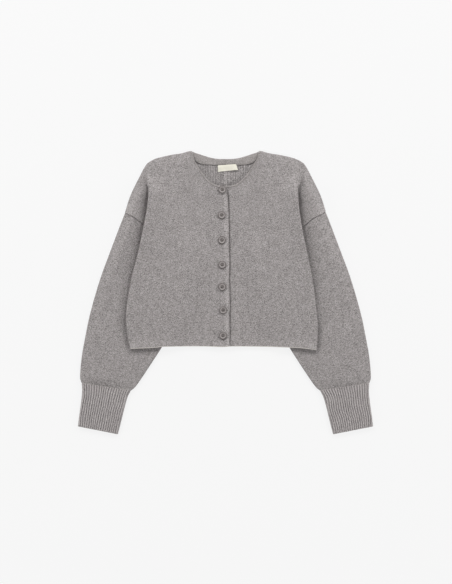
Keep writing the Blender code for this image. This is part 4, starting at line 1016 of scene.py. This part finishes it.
def resampled(path, step):
    # the same path with its points about one step apart, and how far along each of them is
    along = travelled(path)
    at = np.linspace(0, along[-1], int(along[-1] / step) + 1)
    return at, np.column_stack([np.interp(at, along, column) for column in path.T])


def seamRow(name, x, y, z, radius, finish):
    at, path = resampled(np.column_stack([x, y, z]), seam["pitch"] / 4)
    radii = swelling(at, radius, seam["pitch"], 0.72)
    radii[[0, -1]] *= 0.5
    shape = bmesh.new()
    tubeInto(shape, path + [0.0, -middleY, 0.0], radii, seam["sides"])
    finished(name, shape, [finish])


for word, side in bothSides.items():
    # between sleeve and cuff, lower at both ends
    join = (np.array(lines["sleeve"][-1]) + lines["cuff"][0]) / 2
    part = np.linspace(0.015, 0.985, 90)
    out, y = mix(join[0], join[2], part), mix(join[1], join[3], part)
    z = 5.85 + 1.2 * np.sin(np.pi * part) - 1.6 * (1 - ramp(np.minimum(part, 1 - part) * 22))
    seamRow(word + "CuffSeam", side * out, y, z, seam["cuffRadius"], seamWool)
    # a dark thread of cloth low in the armhole's ditch
    out = np.linspace(bodyEdge(side, 170.0) - 8.0, 255.4, 60)
    y = armholeY(out)
    distance = distanceTo(shoulderLine, out, y)
    z = cloth["flat"] + crown(side, out, y) * ramp(distance / cloth["seamInset"]) - edgeDrop(distance) - 2.4
    out, y = bowed(side, out, y)
    seamRow(word + "ArmholeSeam", side * out, y, z, seam["radius"], seamWool)
    # the hem is cast off along the front's lower edge, its row painted lighter as a painted highlight along that edge
    out = np.linspace(ownEdge(side, -140.0) + 1.0, bodyEdge(side, -147.0) - 2.4, 160)
    y = hemAt(side * out) + 0.55
    seamRow(word + "CastOffHem", side * out, y, frontMiddle(side, out, y) + 0.5, seam["hemRadius"], castOffHighlightWool)
print("seams linked")

# Buttons: turned, drilled and sewn on

button = {
    "top": 1.9, "hole": 1.1, "holeOffset": 1.9, "lift": 0.8, "sides": 56, "paleFrom": 4.6, "paleTo": 8.0,
    "start": 7.9,  # radius of the disc that the turning starts from; its rim grows to 9.85
    # each step pulls the top face up or down, and draws it in or out
    "steps": [(1.6, 0.75), (0.35, 0.6), (-0.2, 0.75), (-0.75, 0.55), (-1.0, 0.1), (-0.75, -0.1), (-0.45, -0.3),
              (-0.7, -0.15), (-1.3, 0.0), (-0.35, -0.12), (-0.3, 0.12)],
    "turns": (17.0, -8.0, 31.0, 4.0, -22.0, 12.0, -3.0),  # how far each one is turned on its shank, in degrees
}


def turnButton():
    deselectAll()
    radius = button["start"]
    bpy.ops.mesh.primitive_circle_add(vertices=button["sides"], radius=radius * mm, fill_type="NGON")
    blank = bpy.context.object
    blank.name = "buttonBlank"
    bpy.ops.object.mode_set(mode="EDIT")
    bpy.ops.mesh.select_all(action="SELECT")
    for grow, rise in button["steps"]:
        bpy.ops.mesh.extrude_region_move(TRANSFORM_OT_translate={"value": (0, 0, rise * mm)})
        size = (radius + grow) / radius
        bpy.ops.transform.resize(value=(size, size, 1), center_override=(0, 0, 0))
        radius += grow
    bpy.ops.mesh.select_all(action="SELECT")
    bpy.ops.mesh.normals_make_consistent(inside=False)
    bpy.ops.object.mode_set(mode="OBJECT")
    return blank


def drillHoles(blank):
    for x in (-1, 1):
        for y in (-1, 1):
            deselectAll()
            place = (x * button["holeOffset"] * mm, y * button["holeOffset"] * mm, 1.5 * mm)
            bpy.ops.mesh.primitive_cylinder_add(vertices=18, radius=button["hole"] * mm, depth=12 * mm, location=place)
            drill = bpy.context.object
            cut = blank.modifiers.new("hole", "BOOLEAN")
            cut.operation, cut.object = "DIFFERENCE", drill
            deselectAll()
            blank.select_set(True)
            bpy.context.view_layer.objects.active = blank
            bpy.ops.object.modifier_apply(modifier="hole")
            bpy.data.objects.remove(drill)
    soften = blank.modifiers.new("soften", "BEVEL")
    soften.width, soften.segments, soften.limit_method, soften.angle_limit = 0.16 * mm, 2, "ANGLE", math.radians(38)
    bpy.ops.object.modifier_apply(modifier="soften")
    bpy.ops.object.shade_smooth_by_angle(angle=math.radians(40))


def threadLoops(top):
    # strands over the middle: two side by side from hole to hole, each way, and a shank under the button
    shape = bmesh.new()
    reach = button["holeOffset"]
    share = np.linspace(0, 1, 11)
    z = top - 1.2 + 1.75 * np.sin(np.pi * (0.08 + 0.84 * share)) ** 0.6
    for x in (-reach - 0.42, -reach + 0.42, reach - 0.42, reach + 0.42):
        tubeInto(shape, np.column_stack([x + 0 * share, mix(-reach, reach, share), z]), [0.36] * len(z), 7)
    tubeInto(shape, [(0, 0, -1.0), (0, 0, -0.3), (0, 0, 0.2)], [2.3, 1.9, 2.2], 12)
    mesh = bpy.data.meshes.new("strands")
    shape.to_mesh(mesh)
    shape.free()
    return mesh


blank = turnButton()
drillHoles(blank)
strands = threadLoops(button["top"])
for number, (x, y) in enumerate(lines["buttons"], 1):
    z = float(frontMiddle(right, -x, y)) + cloth["wall"] / 2 + button["lift"]
    turn = Matrix.Rotation(math.radians(button["turns"][number - 1]), 4, "Z")
    place = Matrix.Translation(Vector((x, y - middleY, z)) * mm) @ turn
    shape = bmesh.new()
    shape.from_mesh(blank.data)
    # painted shade: faces on the rim and in the well get the darker corozo
    for face in shape.faces:
        reach = face.calc_center_median().xy.length / mm
        face.material_index = 0 if button["paleFrom"] < reach < button["paleTo"] else 1
    count = len(shape.faces)
    shape.from_mesh(strands)
    shape.faces.ensure_lookup_table()
    for face in shape.faces[count:]:
        face.material_index = 2
    shape.transform(place)
    sewn = finished("button" + str(number), shape, [corozo, corozoShade, thread])
    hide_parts("button_" + str(number))
bpy.data.objects.remove(blank)
print("buttons sewn on")

# Buttonholes: a slit under each button, its two lips and its ends worked over with thread

buttonhole = {"long": 25.0, "lips": 0.8, "radius": 0.6, "pitch": 1.5, "sides": 7}


def workButtonhole(name, x, y, along):
    # along is the direction of the slit; a cord with a swell at each stitch goes round it
    half, lips = buttonhole["long"] / 2, buttonhole["lips"]
    turns = np.radians(np.linspace(-90, 90, 7))
    end = np.column_stack([half - lips + lips * np.cos(turns), lips * np.sin(turns)])
    at, local = resampled(np.vstack([end, -end, end[:1]]), buttonhole["pitch"] / 4)
    px = x + local[:, 0] * along[0] - local[:, 1] * along[1]
    py = y + local[:, 0] * along[1] + local[:, 1] * along[0]
    z = frontMiddle(right, -px, py) + cloth["wall"] / 2 + 0.15
    radii = swelling(at, buttonhole["radius"], buttonhole["pitch"], 0.75)
    shape = bmesh.new()
    tubeInto(shape, np.column_stack([px, py - middleY, z]), radii, buttonhole["sides"])
    finished(name, shape, [seamWool])


for number, (x, y) in enumerate(lines["buttons"], 1):
    # the top one lies across in the neck's edge, the others lie upright
    shift, along = (8.0, (1.0, 0.0)) if number == 1 else (0.0, (0.0, 1.0))
    workButtonhole("buttonhole" + str(number), x - shift, y, along)
print("buttonholes worked")

# Floor, light and camera

stage = {
    "floorSize": 9.0, "floorZ": -0.0006, "floorGlow": 0.84, "floor": "#505050",
    "world": 0.205, "white": (1.0, 1.0, 1.0, 1.0), "lens": 100.0, "sensor": 36.0, "camera": (0.001275, 0.0014, 4.137),
    # a soft sky, two soft boxes beyond the shoulders, and a low one on either side: place, width, power
    "lamps": {"leftBox": ((-3.8, -1.3, 1.7), 1.6, 85.0), "rightBox": ((3.8, -1.3, 1.7), 1.6, 89.0),
              "topLeftBox": ((-1.9, 2.9, 2.1), 1.5, 104.0), "topRightBox": ((1.9, 2.9, 2.1), 1.5, 105.0)},
}  # fmt: skip
bpy.ops.mesh.primitive_plane_add(size=stage["floorSize"], location=(0, 0, stage["floorZ"]))
floor = bpy.context.object
floor.name = "floor"
# A lit table of white acrylic: it glows by itself, so hardly any shadow shows round what lies on it
acrylic, tree, shader = newFinish("litAcrylic", 0.9, stage["floor"])
glow = {"Emission Color": stage["white"], "Emission Strength": stage["floorGlow"], "Specular IOR Level": 0.0}
setNode(tree, shader, glow, {})
floor.data.materials.append(acrylic)

world = bpy.data.worlds.new("studio")
bpy.context.scene.world = world
world.use_nodes = True
sky = {"Color": stage["white"], "Strength": stage["world"]}
setNode(world.node_tree, world.node_tree.nodes["Background"], sky, {})
for name, (place, size, power) in stage["lamps"].items():
    light = bpy.data.lights.new(name, "AREA")
    light.shape = "SQUARE"
    light.size = size
    light.energy = power
    lamp = bpy.data.objects.new(name, light)
    lamp.location = place
    lamp.rotation_euler = (Vector((0, 0, 0)) - Vector(place)).to_track_quat("-Z", "Y").to_euler()
    bpy.context.scene.collection.objects.link(lamp)

camera = bpy.data.objects.new("camera", bpy.data.cameras.new("camera"))
camera.data.lens = stage["lens"]
camera.data.sensor_width = stage["sensor"]
camera.location = stage["camera"]
bpy.context.scene.collection.objects.link(camera)
bpy.context.scene.camera = camera
bpy.context.scene.view_settings.view_transform = "Standard"
bpy.context.view_layer.update()
print("stage set")
